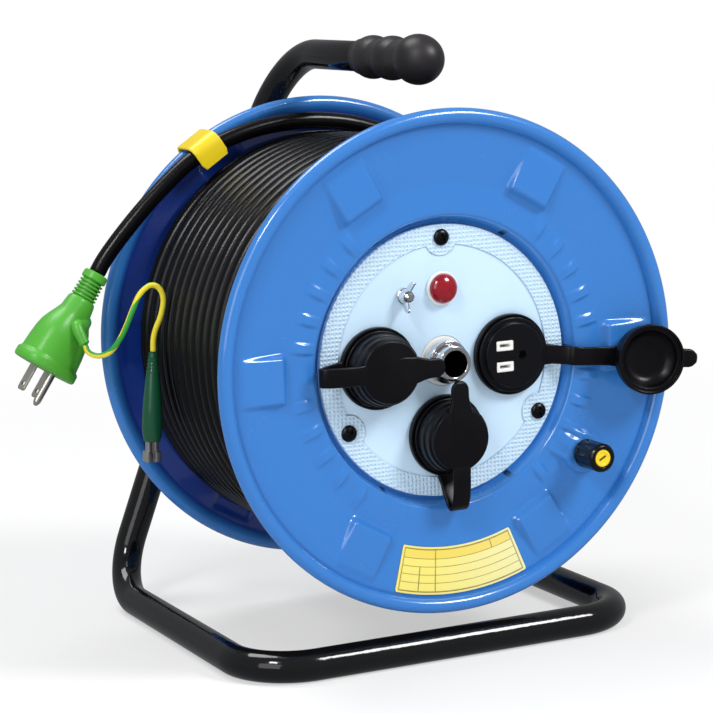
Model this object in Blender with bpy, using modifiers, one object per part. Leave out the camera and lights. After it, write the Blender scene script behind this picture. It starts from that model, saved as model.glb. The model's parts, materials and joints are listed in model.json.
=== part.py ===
"""An extension cord reel: a steel drum with a socket panel, turning on a stand of bent tube.

Everything is in metres. The reel is laid out about the drum's axis: X to the right, Y from the plane of
the front rim towards the back, Z up. The empty "reel_datum" carries it all, and is placed last, so that
the origin lies on the floor under the middle of the stand and drum.
"""

import math

import bmesh
import bpy
import numpy as np
from mathutils import Matrix, Vector

# ---------------------------------------------------------------- driving sizes

CLEAR = 0.0003  # gap between fixed pieces that lie against each other
RUN = 0.0005  # gap between pieces that turn past each other
THROUGH = 0.005  # reach of a cutter past the faces that it cuts
ROOT = 0.001  # depth that a joined piece is sunk into its neighbour
AXLE_HEIGHT = 0.1805  # drum axis above the floor

# Drum
DRUM_RADIUS = 0.150
DRUM_WIDTH = 0.1965  # over the two rims
SHEET = 0.0012
BEAD = 0.0045  # radius of the rolled rim
BEAD_LAP = 0.0015  # width that the rolled rim laps over the sloping face
BAND_DEPTH = 0.010  # flat inner band, behind the rim plane
FACE_WIDTH = 0.0340  # sloping face, from the flat band to the rolled rim
FACE_DEPTH = 0.0055  # sloping face, where it meets the rolled rim
RECESS_SLOPE = 0.0035  # run of the recess's sloping wall
PAD_COUNT = 6
PAD_WIDTH = 0.029
PAD_LENGTH = 0.028
PAD_DEPTH = 0.0052
PAD_INSET = 0.0010  # from the flat band's edge
PAD_TOE = 0.0015  # slope of its inner end
PAD_DRAFT = 0.0020  # slope of its sides
BARREL_RADIUS = 0.0975
DRUM_STEPS = 36
ROUND_STEPS = 20  # sides of pieces about as wide as an outlet

# Socket panel
PANEL_RADIUS = 0.0814
PANEL_DEPTH = 0.0165  # its inner face, behind the rim plane
PANEL_THICKNESS = 0.0025
PANEL_BAND = 0.0118  # width of the raised outer band
PANEL_BAND_RISE = 0.0008
PANEL_BAND_SLOPE = 0.0004
PANEL_CHAMFER = 0.0008
PANEL_MARGIN = 0.0022  # gap from the panel's edge to the recess
SCALLOP_RADIUS = 0.0110  # raised round seat of a panel screw
PANEL_SCREW_CIRCLE = 0.0737
PANEL_SCREW_ANGLES = (90, 210, 330)
SCREW_HEAD = 0.0050
SCREW_HEAD_HEIGHT = 0.0026
SCREW_SHANK = 0.0018
SCREW_TIP = 0.005  # behind the floor sheet

# Outlets and their rubber caps
OUTLET_ANGLES = {"right": 0, "left": 180, "lower": 270}
OUTLET_CIRCLE = 0.0445
OUTLET_RADIUS = 0.0226
OUTLET_RISE = 0.0085  # face above the panel
BOSS_RADIUS = 0.0196  # of the face, which stands up from the wider foot
BOSS_STEP = 0.0026
OUTLET_NECK = 0.0198
OUTLET_LENGTH = 0.034
SLOT_SPACING = 0.0127
SLOT_OFFSET = 0.0070  # from the outlet's middle towards the drum axis
SLOT_LENGTH = 0.0070
SLOT_WIDTH = 0.0020
INSERT_LENGTH = 0.0115
INSERT_WIDTH = 0.0060
INSERT_DEPTH = 0.0100
POCKET_DEPTH = 0.0160
EARTH_OFFSET = 0.0049  # from the outlet's middle away from the axis
EARTH_HOLE = 0.0027
EARTH_HOLE_DEPTH = 0.020
CAP_HEIGHT = 0.0133
CAP_WALL = 0.0015
CAP_LAND = 0.0024  # width of the ledge that seals on the outlet's face
CAP_ROOF = 0.0034
CAP_FILLET = 0.0050  # inside, between the roof and the wall
CAP_BAR = 0.0020
CAP_BAR_LENGTH = 0.037
CAP_BAR_ROUND = 0.0012
RING_WIDTH = 0.0016
RING_HEIGHT = 0.0036
RING_STRAP_RUN = 0.007  # from the ring to the strap's elbow
STRAP_WIDTH = 0.0115
STRAP_THICKNESS = 0.0024
STRAP_START = 0.0175  # from the cap's middle
STRAP_INSET = 0.0002  # below the face of what the strap runs out of
STRAP_CUT = 0.0007  # from the fold line to each half of the strap
HINGE_REACH = 0.0426  # from the outlet's middle to the strap's fold
HINGE_DEPTH = 0.0022  # fold line behind the rim plane
TAB_REACH = 0.0352
TAB_ROOT = 0.017  # from the cap's middle
TAB_RADIUS = 0.0053
TAB_THICKNESS = 0.003
CAP_OPEN = 169.5  # degrees
OPEN_CAP = "right"
OPEN_CAP_TWIST = -5.5  # degrees about its outlet, from the line away from the drum's axis

# Pilot lamp and earth stud
LAMP_CIRCLE = 0.0434
LENS_RADIUS = 0.0090
LENS_DOME = 0.0056
BEZEL_RADIUS = 0.0103
BEZEL_RISE = 0.0018
BEZEL_CHAMFER = 0.0005
LAMP_BARREL = 0.0086
LAMP_WALL = 0.0012
LAMP_LENGTH = 0.016
LENS_LENGTH = 0.010  # behind the panel's face
EARTH_STUD_PLACE = (-0.0255, 0.041)
EARTH_STUD_RADIUS = 0.0025
EARTH_STUD_RISE = 0.0100
EARTH_STUD_TAIL = 0.012
EARTH_STUD_POINT = 0.0005
EARTH_COLLAR_RADIUS = 0.0048
EARTH_COLLAR_HEIGHT = 0.0024
WING_NUT_RADIUS = 0.0046
WING_NUT_TAPER = 0.0012
WING_NUT_HEIGHT = 0.0045
WING_SPAN = 0.0175
WING_THICKNESS = 0.0012
WING_ROOT = (0.0004, 0.0034)  # how far its inner end stands in front of the nut's back
WING_TIP = (0.0034, 0.0072)
WING_PEAK = 0.0078
TERMINAL_ANGLE = 225
TERMINAL_CIRCLE = 0.0505
TERMINAL_SIZE = (0.024, 0.022, 0.024)
TERMINAL_ROUND = 0.001

# Winding knob and sticker
KNOB_CIRCLE = 0.110
KNOB_ANGLE = -35.5
KNOB_BOSS_DEPTH = 0.0048
KNOB_BOSS_RADIUS = 0.0125
KNOB_RADIUS = 0.00875
KNOB_LENGTH = 0.0215
KNOB_FOOT_CHAMFER = 0.0011
KNOB_FRONT_CHAMFER = 0.0014
KNOB_POCKET = 0.0060
KNOB_PIN_RADIUS = 0.0030
KNOB_PIN_HEAD = 0.0022
KNOB_PIN_FOOT_RADIUS = 0.0050
KNOB_PIN_FOOT = 0.0012
KNOB_PIN_SPARE = 0.0008  # from the flange's back to the riveted foot
KNOB_CAP_RADIUS = 0.00525
KNOB_CAP_CHAMFER = 0.0006
STICKER_HEIGHT = 0.028
STICKER_MARGIN = 0.002  # from the rolled rim
STICKER_ANGLES = (-107.5, -70.0)
STICKER_STEPS = 8
STICKER_THICKNESS = 0.0003

# Axle and bearings
AXLE_RADIUS = 0.0105
AXLE_BORE = 0.0080
AXLE_FRONT = 0.0010
AXLE_CHAMFER = 0.0008
AXLE_TAIL = 0.004  # behind its nut
COLLAR_RADIUS = 0.0130
COLLAR_HEIGHT = 0.0076
COLLAR_CHAMFER = (0.0006, 0.0014)
BUSH_WALL = 0.0040
BUSH_LIP = 0.0040
BUSH_LIP_THICKNESS = 0.003
FRONT_BUSH_LENGTH = 0.012  # behind the panel
REAR_HUB_WALL = 0.003
REAR_BUSH_LENGTH = 0.010  # inside the flange
REAR_BUSH_LIP = 0.0035  # outside the flange
SPACER_WALL = 0.0035
NUT_HEIGHT = 0.009
NUT_RADIUS = 0.0180

# Stand
TUBE_RADIUS = 0.0095
STAND_FRONT = 0.0126  # centre line of the front bar
STAND_BACK = 0.245  # plane of the legs
STAND_HALF_WIDTH = 0.1285
FOOT_FLAT = 0.0003  # worn flat under the floor bars
HANDLE_HEIGHT = 0.1765  # above the axis
HANDLE_X = 0.006
HANDLE_BEND = 0.052
CORNER_BEND = 0.038
LEG_JOIN_HEIGHT = 0.128
SWAGE_REDUCTION = 0.0005
SWAGE_LENGTH = 0.030
SWAGE_LAP = 0.010
SLAB = 0.010  # thickness of the cutter under the feet
GRIP_FRONT = 0.033
GRIP_END = 0.007  # rubber in front of the tube's end
GRIP_WALL = 0.0012
GRIP_WAIST_WALL = 0.0015
GRIP_TAIL = 0.0135  # behind the last swell's middle
GRIP_SAMPLES = 18
GRIP_SWELLS = ((0.110, 0.0135, 0.0165), (0.084, 0.0136, 0.0160), (0.050, 0.0152, 0.0172))
PLATE_THICKNESS = 0.004
PLATE_HALF_HEIGHT = 0.024
PLATE_MARGIN = 0.021
BOLT_RADIUS = 0.004
BOLT_HEAD = 0.0075
BOLT_HEAD_HEIGHT = 0.0053
BOLT_TIP = 0.003

# Cord
CORD_RADIUS = 0.00525
WINDING_DEPTH = 0.026  # from the barrel to the centre line of the outer layer
WINDING_TURNS = 13
WINDING_PITCH = 0.0111
TURN_POINTS = 24
WINDING_END = 60  # degrees, where the outer layer starts and ends
LANE_Y = 0.178  # the last turn's own lane, beside the rear flange
LANE_CORE = 0.0085  # depth of the core under that lane
SHOULDER_STEP = 22  # degrees, length of the wedge at an end of the outer layer
SHOULDER_ROOT = (0.0060, 0.0005)  # how far the wedge's foot reaches into the core
SHOULDER_TUCK = 0.008
SHOULDER_SHARE = 0.96  # the wedge's width, as a share of the cord's
TIE_ROD_CIRCLE = 0.076
TIE_ROD_RADIUS = 0.003
TIE_ROD_ANGLES = (30, 150, 270)
TIE_FOOT_RADIUS = 0.006
TIE_FOOT = 0.004
TIE_NUT_RADIUS = 0.0058
TIE_NUT = 0.006
TIE_NUT_DOME = 0.001
GROMMET_PLACE = 0.020  # from the first turn of the outer layer
GROMMET_RADIUS = 0.008
GROMMET_LIP = 0.002
GROMMET_DEPTH = 0.006
GROMMET_SAG = 0.0012  # depth of the barrel's curve across the grommet

# Lead end, beyond the winding: the cord's own points (x, z) in its lane, from the climb to the plug
FREE_CORD_XZ = (
    (0.0658, 0.1139), (0.0323, 0.1294), (-0.0047, 0.1354), (-0.0382, 0.1331), (-0.0669, 0.1258),
    (-0.0886, 0.1154), (-0.1052, 0.1028), (-0.1222, 0.0876), (-0.1385, 0.0708), (-0.1500, 0.0574),
    (-0.1558, 0.0487),
)
LANE_TAIL = ((30, 0.1135), (45, 0.1170), (60, 0.1202), (76, 0.1222), (92, 0.1233))
LANE_CLIMB = ((330, 0.1233), (352, 0.1240), (375, 0.1262), (398, 0.1288))
PLUG_AXIS = (-0.556, 0.0, -0.831)
PLUG_ROLL = -20.0
# Plug sections: distance from the cord's end, half width, half depth
PLUG_SECTIONS = (
    (0.0000, 0.0074, 0.0074), (0.0050, 0.0080, 0.0080), (0.0060, 0.0066, 0.0066), (0.0078, 0.0066, 0.0066),
    (0.0086, 0.0082, 0.0080), (0.0104, 0.0082, 0.0080), (0.0112, 0.0068, 0.0066), (0.0130, 0.0068, 0.0066),
    (0.0138, 0.0086, 0.0082), (0.0156, 0.0086, 0.0082), (0.0164, 0.0072, 0.0068), (0.0182, 0.0074, 0.0070),
    (0.0190, 0.0092, 0.0086), (0.0270, 0.0102, 0.0092), (0.0360, 0.0150, 0.0120), (0.0450, 0.0178, 0.0140),
    (0.0600, 0.0194, 0.0152), (0.0622, 0.0214, 0.0166), (0.0670, 0.0214, 0.0166), (0.0680, 0.0206, 0.0158),
)
PLUG_STEPS = 14
BLADE_SIZE = (0.0063, 0.0015, 0.0175)
BLADE_DROP = 0.0020  # from the plug's middle, away from the earth pin
BLADE_HOLE = 0.0015
BLADE_HOLE_PLACE = 0.0045  # from the blade's tip
EARTH_PIN_PLACE = 0.0095
EARTH_PIN_RADIUS = 0.0024
EARTH_PIN_LENGTH = 0.022
EARTH_PIN_POINT = ((0.0024, 0.0016), (0.0013, 0.0003))  # radius, distance from the tip
LEAD_BOSS = (0.0036, 0.0031)  # radius of the plug's side boss, at its root and where the lead leaves
LEAD_BOSS_LENGTH = 0.012
LEAD_BOSS_ROOT = (0.0080, 0.0, 0.0340)  # inside the plug, in its own axes
LEAD_BOSS_STEPS = 10
CLIP_ANGLE = 123.4
CLIP_WIDTH = 0.020
CLIP_THICKNESS = 0.0018
CLIP_TONGUE = 0.0095  # how far it reaches under the cord
CLIP_SPARE = 0.0011  # the flat band lies along a round rim
LEAD_RADIUS = 0.00175
# The earth lead's own points, from the plug's side to its boot
EARTH_LEAD_XYZ = (
    (-0.1725, 0.1590, 0.0075), (-0.1714, 0.1568, 0.0032), (-0.1668, 0.1530, 0.0010),
    (-0.1610, 0.1470, 0.0036), (-0.1567, 0.1400, 0.0122), (-0.1530, 0.1370, 0.0210),
    (-0.1490, 0.1360, 0.0304), (-0.1440, 0.1360, 0.0392), (-0.1372, 0.1360, 0.0440),
    (-0.1315, 0.1360, 0.0418), (-0.1290, 0.1360, 0.0348), (-0.1310, 0.1360, 0.0250),
    (-0.1347, 0.1360, 0.0170), (-0.13655, 0.1360, 0.0108), (-0.1371, 0.1360, 0.0030),
)
BOOT_LENGTH = 0.055
# Boot sections: share of its length, radius
BOOT_SECTIONS = (
    (0.0, 0.0026), (0.12, 0.0034), (0.40, 0.0052), (0.75, 0.0063), (0.93, 0.0060), (1.0, 0.0052),
)
JAW_SIZE = (0.0110, 0.0075, 0.0125)
JAW_GAP = 0.0016
JAW_ROUND = 0.0008
JAW_HEEL = 0.0006  # solid end of the jaws, behind their gap

# ---------------------------------------------------------------- sizes worked out from them

FLOOR_DEPTH = PANEL_DEPTH + PANEL_THICKNESS + CLEAR  # recess floor that the panel lies on
PANEL_BACK = PANEL_DEPTH + PANEL_THICKNESS
OPENING_RADIUS = OUTLET_CIRCLE + OUTLET_NECK + PANEL_MARGIN
RECESS_RADIUS = PANEL_RADIUS + PANEL_MARGIN
RECESS_LIP = RECESS_RADIUS + RECESS_SLOPE
BEAD_INNER = DRUM_RADIUS - 2 * BEAD
FACE_RADIUS = BEAD_INNER - BEAD_LAP
BAND_RADIUS = FACE_RADIUS - FACE_WIDTH
STICKER_OUTER = BEAD_INNER - STICKER_MARGIN
OUTLET_FACE = PANEL_DEPTH - OUTLET_RISE
OUTLET_SHOULDER = OUTLET_FACE + BOSS_STEP
CUP_RADIUS = BOSS_RADIUS + CLEAR
CAP_RADIUS = CUP_RADIUS + CAP_WALL
RING_RADIUS = OUTLET_RADIUS + CLEAR + RING_WIDTH
BAND_BACK = BAND_DEPTH + SHEET
WINDING_RADIUS = BARREL_RADIUS + WINDING_DEPTH
WINDING_LAST = LANE_Y - WINDING_PITCH
WINDING_FIRST = WINDING_LAST - WINDING_TURNS * WINDING_PITCH
CORE_RADIUS = WINDING_RADIUS * math.cos(math.pi / TURN_POINTS) - CORD_RADIUS - CLEAR
FRONT_BUSH_RADIUS = AXLE_RADIUS + CLEAR + BUSH_WALL
REAR_HUB_RADIUS = FRONT_BUSH_RADIUS + REAR_HUB_WALL
PLATE_FRONT = STAND_BACK - TUBE_RADIUS - CLEAR - PLATE_THICKNESS
AXLE_BACK = PLATE_FRONT + PLATE_THICKNESS + NUT_HEIGHT + AXLE_TAIL
BUSH_BACK = DRUM_WIDTH - FLOOR_DEPTH + CLEAR + REAR_BUSH_LIP

AXIAL = (-math.pi / 2, 0, 0)  # turns a piece's own Z to the reel's Y


def polar(angle, radius):
    """The (x, z) of a point at this angle in degrees and radius from the drum's axis."""
    return radius * math.cos(math.radians(angle)), radius * math.sin(math.radians(angle))


def in_plane(angle, radius, y):
    x, z = polar(angle, radius)
    return Vector((x, y, z))


# ---------------------------------------------------------------- modelling helpers


def clear_scene():
    for obj in list(bpy.data.objects):
        bpy.data.objects.remove(obj, do_unlink=True)


def collection(name):
    made = bpy.data.collections.new(name)
    bpy.context.scene.collection.children.link(made)
    return made


def material(name, colour, roughness, metallic=0.0):
    made = bpy.data.materials.new(name)
    made.use_nodes = True
    shader = made.node_tree.nodes["Principled BSDF"]
    shader.inputs["Base Color"].default_value = (*colour, 1.0)
    shader.inputs["Roughness"].default_value = roughness
    shader.inputs["Metallic"].default_value = metallic
    return made


def empty(name, location, parent=None):
    made = bpy.data.objects.new(name, None)
    made.empty_display_size = 0.02
    made.location = location
    made.parent = parent
    reel.objects.link(made)
    return made


def place(obj, finish, parent, location=(0, 0, 0), rotation=(0, 0, 0)):
    """Puts a new object among the parts, or among the cutters when it has no finish."""
    obj.parent = parent
    obj.location = location
    obj.rotation_euler = rotation
    if finish is None:
        cutters.objects.link(obj)
        obj.hide_render = True
        obj.display_type = "WIRE"
    else:
        reel.objects.link(obj)
        obj.data.materials.append(finish)
    return obj


def from_bmesh(name, shape, smooth_angle=35):
    mesh = bpy.data.meshes.new(name)
    bmesh.ops.recalc_face_normals(shape, faces=shape.faces)
    shape.to_mesh(mesh)
    shape.free()
    mesh.shade_smooth()
    mesh.set_sharp_from_angle(angle=math.radians(smooth_angle))
    return bpy.data.objects.new(name, mesh)


def turned(name, profile, finish, parent, location=(0, 0, 0), rotation=AXIAL, steps=24):
    """A turned solid. Its profile holds (radius, distance along the axis), and closes on itself unless it
    starts and ends on the axis."""
    points = [Vector((radius, 0, along)) for radius, along in profile]
    on_axis = points[0].x == 0 and points[-1].x == 0
    loop = points + points[:1]
    turn = sum(a.x * b.z - b.x * a.z for a, b in zip(loop, loop[1:]))
    if turn > 0:
        points.reverse()
    mesh = bpy.data.meshes.new(name)
    edges = [(i, i + 1) for i in range(len(points) - 1)]
    if not on_axis:
        edges.append((len(points) - 1, 0))
    mesh.from_pydata(points, edges, [])
    obj = bpy.data.objects.new(name, mesh)
    screw = obj.modifiers.new("Screw", "SCREW")
    screw.steps = screw.render_steps = steps
    screw.use_merge_vertices = True
    screw.merge_threshold = 0.00001
    screw.use_smooth_shade = True
    return place(obj, finish, parent, location, rotation)


def rod(name, radius, start, end, finish, parent, steps=16):
    """A plain round bar between two points."""
    start, end = Vector(start), Vector(end)
    shape = bmesh.new()
    bmesh.ops.create_cone(
        shape, cap_ends=True, segments=steps, radius1=radius, radius2=radius, depth=(end - start).length
    )
    obj = from_bmesh(name, shape)
    turn = (end - start).to_track_quat("Z", "Y").to_euler()
    return place(obj, finish, parent, (start + end) / 2, turn)


def bored(name, radius, spot, front, back, parent, steps=12):
    """The cutter of a hole along Y, at an (x, z) spot, through everything from front to back."""
    x, z = spot
    return rod(name, radius, (x, front - THROUGH, z), (x, back + THROUGH, z), None, parent, steps)


def box(name, size, centre, finish, parent, rotation=(0, 0, 0), rounding=0.0):
    shape = bmesh.new()
    bmesh.ops.create_cube(shape, size=1.0)
    bmesh.ops.scale(shape, vec=size, verts=shape.verts)
    obj = place(from_bmesh(name, shape), finish, parent, centre, rotation)
    if rounding:
        bevel = obj.modifiers.new("Bevel", "BEVEL")
        bevel.width = rounding
        bevel.segments = 1
    return obj


def hull(name, points, finish, parent, location=(0, 0, 0), rotation=(0, 0, 0)):
    """The convex solid through these corners."""
    shape = bmesh.new()
    corners = [shape.verts.new(point) for point in points]
    bmesh.ops.convex_hull(shape, input=corners)
    return place(from_bmesh(name, shape), finish, parent, location, rotation)


def tube(name, points, radius, finish, parent, resolution=2):
    """A round tube with closed ends along a line of points."""
    curve = bpy.data.curves.new(name, "CURVE")
    curve.dimensions = "3D"
    curve.bevel_depth = radius
    curve.bevel_resolution = resolution
    curve.use_fill_caps = True
    spline = curve.splines.new("POLY")
    spline.points.add(len(points) - 1)
    for knot, point in zip(spline.points, points):
        knot.co = (*point, 1.0)
    return place(bpy.data.objects.new(name, curve), finish, parent)


def meshed(obj, finish, parent):
    """Makes a curve object a mesh with its caps welded on, so that it can be cut and joined."""
    bpy.context.view_layer.update()
    graph = bpy.context.evaluated_depsgraph_get()
    name = obj.name
    mesh = bpy.data.meshes.new_from_object(obj.evaluated_get(graph))
    bpy.data.objects.remove(obj, do_unlink=True)
    shape = bmesh.new()
    shape.from_mesh(mesh)
    bmesh.ops.remove_doubles(shape, verts=shape.verts, dist=0.00001)
    made = from_bmesh(name, shape)
    made.name = name
    made.data.materials.clear()
    return place(made, finish, parent)


def boolean(obj, other, operation):
    step = obj.modifiers.new(other.name, "BOOLEAN")
    step.operation = operation
    step.object = other


def join(obj, *others):
    for other in others:
        boolean(obj, other, "UNION")


def cut(obj, *others):
    for other in others:
        boolean(obj, other, "DIFFERENCE")


def loft(name, rings, finish, parent):
    """A closed skin over rings of equally many points, with flat ends."""
    shape = bmesh.new()
    loops = [[shape.verts.new(point) for point in ring] for ring in rings]
    for one, two in zip(loops, loops[1:]):
        for i in range(len(one)):
            shape.faces.new((one[i - 1], one[i], two[i], two[i - 1]))
    shape.faces.new(loops[0])
    shape.faces.new(reversed(loops[-1]))
    return place(from_bmesh(name, shape), finish, parent)


def smooth_path(points, spacing):
    """Points about this far apart on a smooth curve (Catmull-Rom) through the given ones."""
    knots = [Vector(point) for point in points]
    knots = [2 * knots[0] - knots[1], *knots, 2 * knots[-1] - knots[-2]]
    path = [knots[1]]
    for a, b, c, d in zip(knots, knots[1:], knots[2:], knots[3:]):
        count = max(1, round((c - b).length / spacing))
        for i in range(1, count + 1):
            t = i / count
            bend = 2 * a - 5 * b + 4 * c - d
            twist = 3 * b - a - 3 * c + d
            path.append(b + 0.5 * ((c - a) * t + bend * t**2 + twist * t**3))
    return path


def bent_line(corners, radii, pieces):
    """A line through corners, each rounded to an arc of its own radius."""
    path = [corners[0]]
    for before, corner, after, radius in zip(corners, corners[1:], corners[2:], radii):
        arriving = (corner - before).normalized()
        leaving = (after - corner).normalized()
        turn = arriving.angle(leaving)
        inward = (leaving - arriving * math.cos(turn)) / math.sin(turn)
        start = corner - arriving * radius * math.tan(turn / 2)
        for i in range(pieces + 1):
            angle = turn * i / pieces
            reached = arriving * math.sin(angle) + inward * (1 - math.cos(angle))
            path.append(start + reached * radius)
    path.append(corners[-1])
    return path


def offset_line(points, distance):
    """The line this far to the left of a line of (radius, depth) points, mitred at its corners."""
    line = np.array(points)
    along = np.diff(line, axis=0)
    along /= np.linalg.norm(along, axis=1)[:, None]
    normals = np.column_stack([-along[:, 1], along[:, 0]])
    before = np.vstack([normals[:1], normals])
    after = np.vstack([normals, normals[-1:]])
    mitre = before + after
    mitre *= (2 / np.sum(mitre**2, axis=1))[:, None]
    return [tuple(point) for point in line + mitre * distance]


# ---------------------------------------------------------------- drum


def flange_face(inner_radius):
    """The flange's outer surface as (radius, depth behind the rim plane), from its hole to its bead."""
    return [
        (inner_radius, FLOOR_DEPTH),
        (RECESS_RADIUS, FLOOR_DEPTH),
        (RECESS_LIP, BAND_DEPTH),
        (BAND_RADIUS, BAND_DEPTH),
        (FACE_RADIUS, FACE_DEPTH),
    ]


def flange_profile(inner_radius):
    """The whole section of a flange: its face, the rolled bead, and its back."""
    face = flange_face(inner_radius)
    back = offset_line(face, SHEET)
    bead = []
    for angle in (140, 80, 20, -40, -110):
        turn = math.radians(angle)
        bead.append((DRUM_RADIUS - BEAD + BEAD * math.cos(turn), BEAD - BEAD * math.sin(turn)))
    return face + bead + back[::-1]


def face_depth(radius):
    radii, depths = zip(*flange_face(OPENING_RADIUS))
    return float(np.interp(radius, radii, depths))


def pressed_pads(name, depth_of, parent):
    """Six pads pressed out of the sloping face, as cutters to join. depth_of turns a depth into a Y."""
    inner = BAND_RADIUS + PAD_INSET
    outer = inner + PAD_LENGTH
    half = PAD_WIDTH / 2
    pads = []
    for i in range(PAD_COUNT):
        corners = []
        for radius, top_radius in ((inner, inner + PAD_TOE), (outer, outer)):
            for side in (-1, 1):
                corners.append((radius, depth_of(face_depth(radius) + SHEET / 2), side * half))
                corners.append((top_radius, depth_of(PAD_DEPTH), side * (half - PAD_DRAFT)))
        angle = -math.radians(360 / PAD_COUNT * i)
        pads.append(hull(f"{name}_pad_{i + 1}", corners, None, parent, rotation=(0, angle, 0)))
    return pads


def front_flange(parent):
    profile = flange_profile(OPENING_RADIUS)
    flange = turned("front_flange", profile, blue_paint, parent, steps=DRUM_STEPS)
    join(flange, *pressed_pads("front", lambda depth: depth, parent))
    spot = x, z = polar(KNOB_ANGLE, KNOB_CIRCLE)
    foot = BAND_DEPTH + SHEET / 2
    join(flange, rod("knob_boss", KNOB_BOSS_RADIUS, (x, KNOB_BOSS_DEPTH, z), (x, foot, z), None, parent))
    cut(flange, bored("knob_hole", KNOB_PIN_RADIUS + CLEAR, spot, KNOB_BOSS_DEPTH, BAND_BACK, parent, 16))
    for angle in PANEL_SCREW_ANGLES:
        spot = polar(angle, PANEL_SCREW_CIRCLE)
        hole = SCREW_SHANK + CLEAR
        cut(flange, bored("floor_hole", hole, spot, FLOOR_DEPTH, FLOOR_DEPTH + SHEET, parent))


def rear_flange(parent):
    profile = [(radius, DRUM_WIDTH - depth) for radius, depth in flange_profile(REAR_HUB_RADIUS)]
    flange = turned("rear_flange", profile, blue_paint, parent, steps=DRUM_STEPS)
    join(flange, *pressed_pads("rear", lambda depth: DRUM_WIDTH - depth, parent))
    back = DRUM_WIDTH - FLOOR_DEPTH
    for angle in TIE_ROD_ANGLES:
        spot = polar(angle, TIE_ROD_CIRCLE)
        cut(flange, bored("tie_hole", TIE_ROD_RADIUS + CLEAR, spot, back - SHEET, back, parent))


def drum_barrel(parent):
    front, back = BAND_BACK + CLEAR, DRUM_WIDTH - BAND_BACK - CLEAR
    inner = BARREL_RADIUS - SHEET
    profile = [(BARREL_RADIUS, back), (BARREL_RADIUS, front), (inner, front), (inner, back)]
    barrel = turned("drum_barrel", profile, blue_paint, parent, steps=DRUM_STEPS)
    y = WINDING_FIRST + GROMMET_PLACE
    ends = [in_plane(180, radius, y) for radius in (inner - THROUGH, BARREL_RADIUS + THROUGH)]
    cut(barrel, rod("grommet_hole", GROMMET_RADIUS, *ends, None, parent))
    bore, neck, lip = CORD_RADIUS + CLEAR, GROMMET_RADIUS - CLEAR, GROMMET_RADIUS + GROMMET_LIP
    seat = -SHEET - CLEAR - GROMMET_SAG
    back = -SHEET - GROMMET_DEPTH
    grommet = [(bore, back), (lip, back), (lip, seat), (neck, seat), (neck, -SHEET), (bore, -SHEET)]
    place_at = in_plane(180, BARREL_RADIUS, y)
    turned("cable_grommet", grommet, rubber, parent, place_at, (0, -math.pi / 2, 0), steps=12)


def tie_rods(parent):
    """Rods welded behind the front flange's floor, with nuts outside the rear flange."""
    front = FLOOR_DEPTH + SHEET + CLEAR
    back = DRUM_WIDTH - FLOOR_DEPTH
    for i, angle in enumerate(TIE_ROD_ANGLES):
        foot, nut_front = front + TIE_FOOT, back + CLEAR
        nut_back = back + TIE_NUT
        profile = [
            (0, front), (TIE_FOOT_RADIUS, front), (TIE_FOOT_RADIUS, foot), (TIE_ROD_RADIUS, foot),
            (TIE_ROD_RADIUS, nut_front), (TIE_NUT_RADIUS, nut_front),
            (TIE_NUT_RADIUS, nut_back - TIE_NUT_DOME), (0, nut_back),
        ]
        turned(f"tie_rod_{i + 1}", profile, zinc, parent, in_plane(angle, TIE_ROD_CIRCLE, 0), steps=12)


# ---------------------------------------------------------------- winding


def winding_points():
    """The centre line of the outer layer: a helix with straight chords, from the front to the rear."""
    count = WINDING_TURNS * TURN_POINTS
    points = []
    for i in range(count + 1):
        turn = i / TURN_POINTS
        y = WINDING_FIRST + WINDING_PITCH * turn
        points.append(in_plane(WINDING_END - 360 * turn, WINDING_RADIUS, y))
    return points


def least_gap(points, radius):
    """The smallest distance between the surfaces of different turns, at the centre line's points."""
    line = np.array(points)
    apart = np.linalg.norm(line[:, None] - line[None, :], axis=2)
    index = np.arange(len(line))
    apart[np.abs(index[:, None] - index[None, :]) < TURN_POINTS // 2] = 1.0
    return float(apart.min()) - 2 * radius


def shoulder(name, end, inner, angle_step, parent):
    """A wedge of the core that one end of the outer layer runs against, where the cord dives below it."""
    run = (end - inner).normalized()
    outward = Vector((end.x, 0, end.z)).normalized()
    outward = (outward - run * outward.dot(run)).normalized()
    across = run.cross(outward)
    start = end + run * CLEAR
    half = CORD_RADIUS * SHOULDER_SHARE
    corners = []
    for side in (-half, half):
        corners += [start + outward * out + across * side for out in (-SHOULDER_TUCK, half)]
    angle = math.degrees(math.atan2(end.z, end.x)) + angle_step
    for depth in SHOULDER_ROOT:
        corners += [in_plane(angle, CORE_RADIUS - depth, end.y + side) for side in (-half, half)]
    return hull(name, corners, None, parent)


def winding(parent):
    points = winding_points()
    print(f"least gap between turns: {least_gap(points, CORD_RADIUS) * 1000:.2f} mm")
    inner = BARREL_RADIUS + CLEAR
    front, back = WINDING_FIRST - CORD_RADIUS, WINDING_LAST + CORD_RADIUS
    lane, lane_back = BARREL_RADIUS + LANE_CORE, DRUM_WIDTH - BAND_BACK - CLEAR
    profile = [
        (inner, front), (CORE_RADIUS, front), (CORE_RADIUS, back), (lane, back), (lane, lane_back),
        (inner, lane_back),
    ]
    core = turned("winding_core", profile, cord_black, parent, steps=DRUM_STEPS)
    join(core, shoulder("first_shoulder", points[0], points[1], SHOULDER_STEP, parent))
    join(core, shoulder("last_shoulder", points[-1], points[-2], -SHOULDER_STEP, parent))
    tube("winding_turns", points, CORD_RADIUS, cord_black, parent, resolution=1)


# ---------------------------------------------------------------- socket panel


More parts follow.
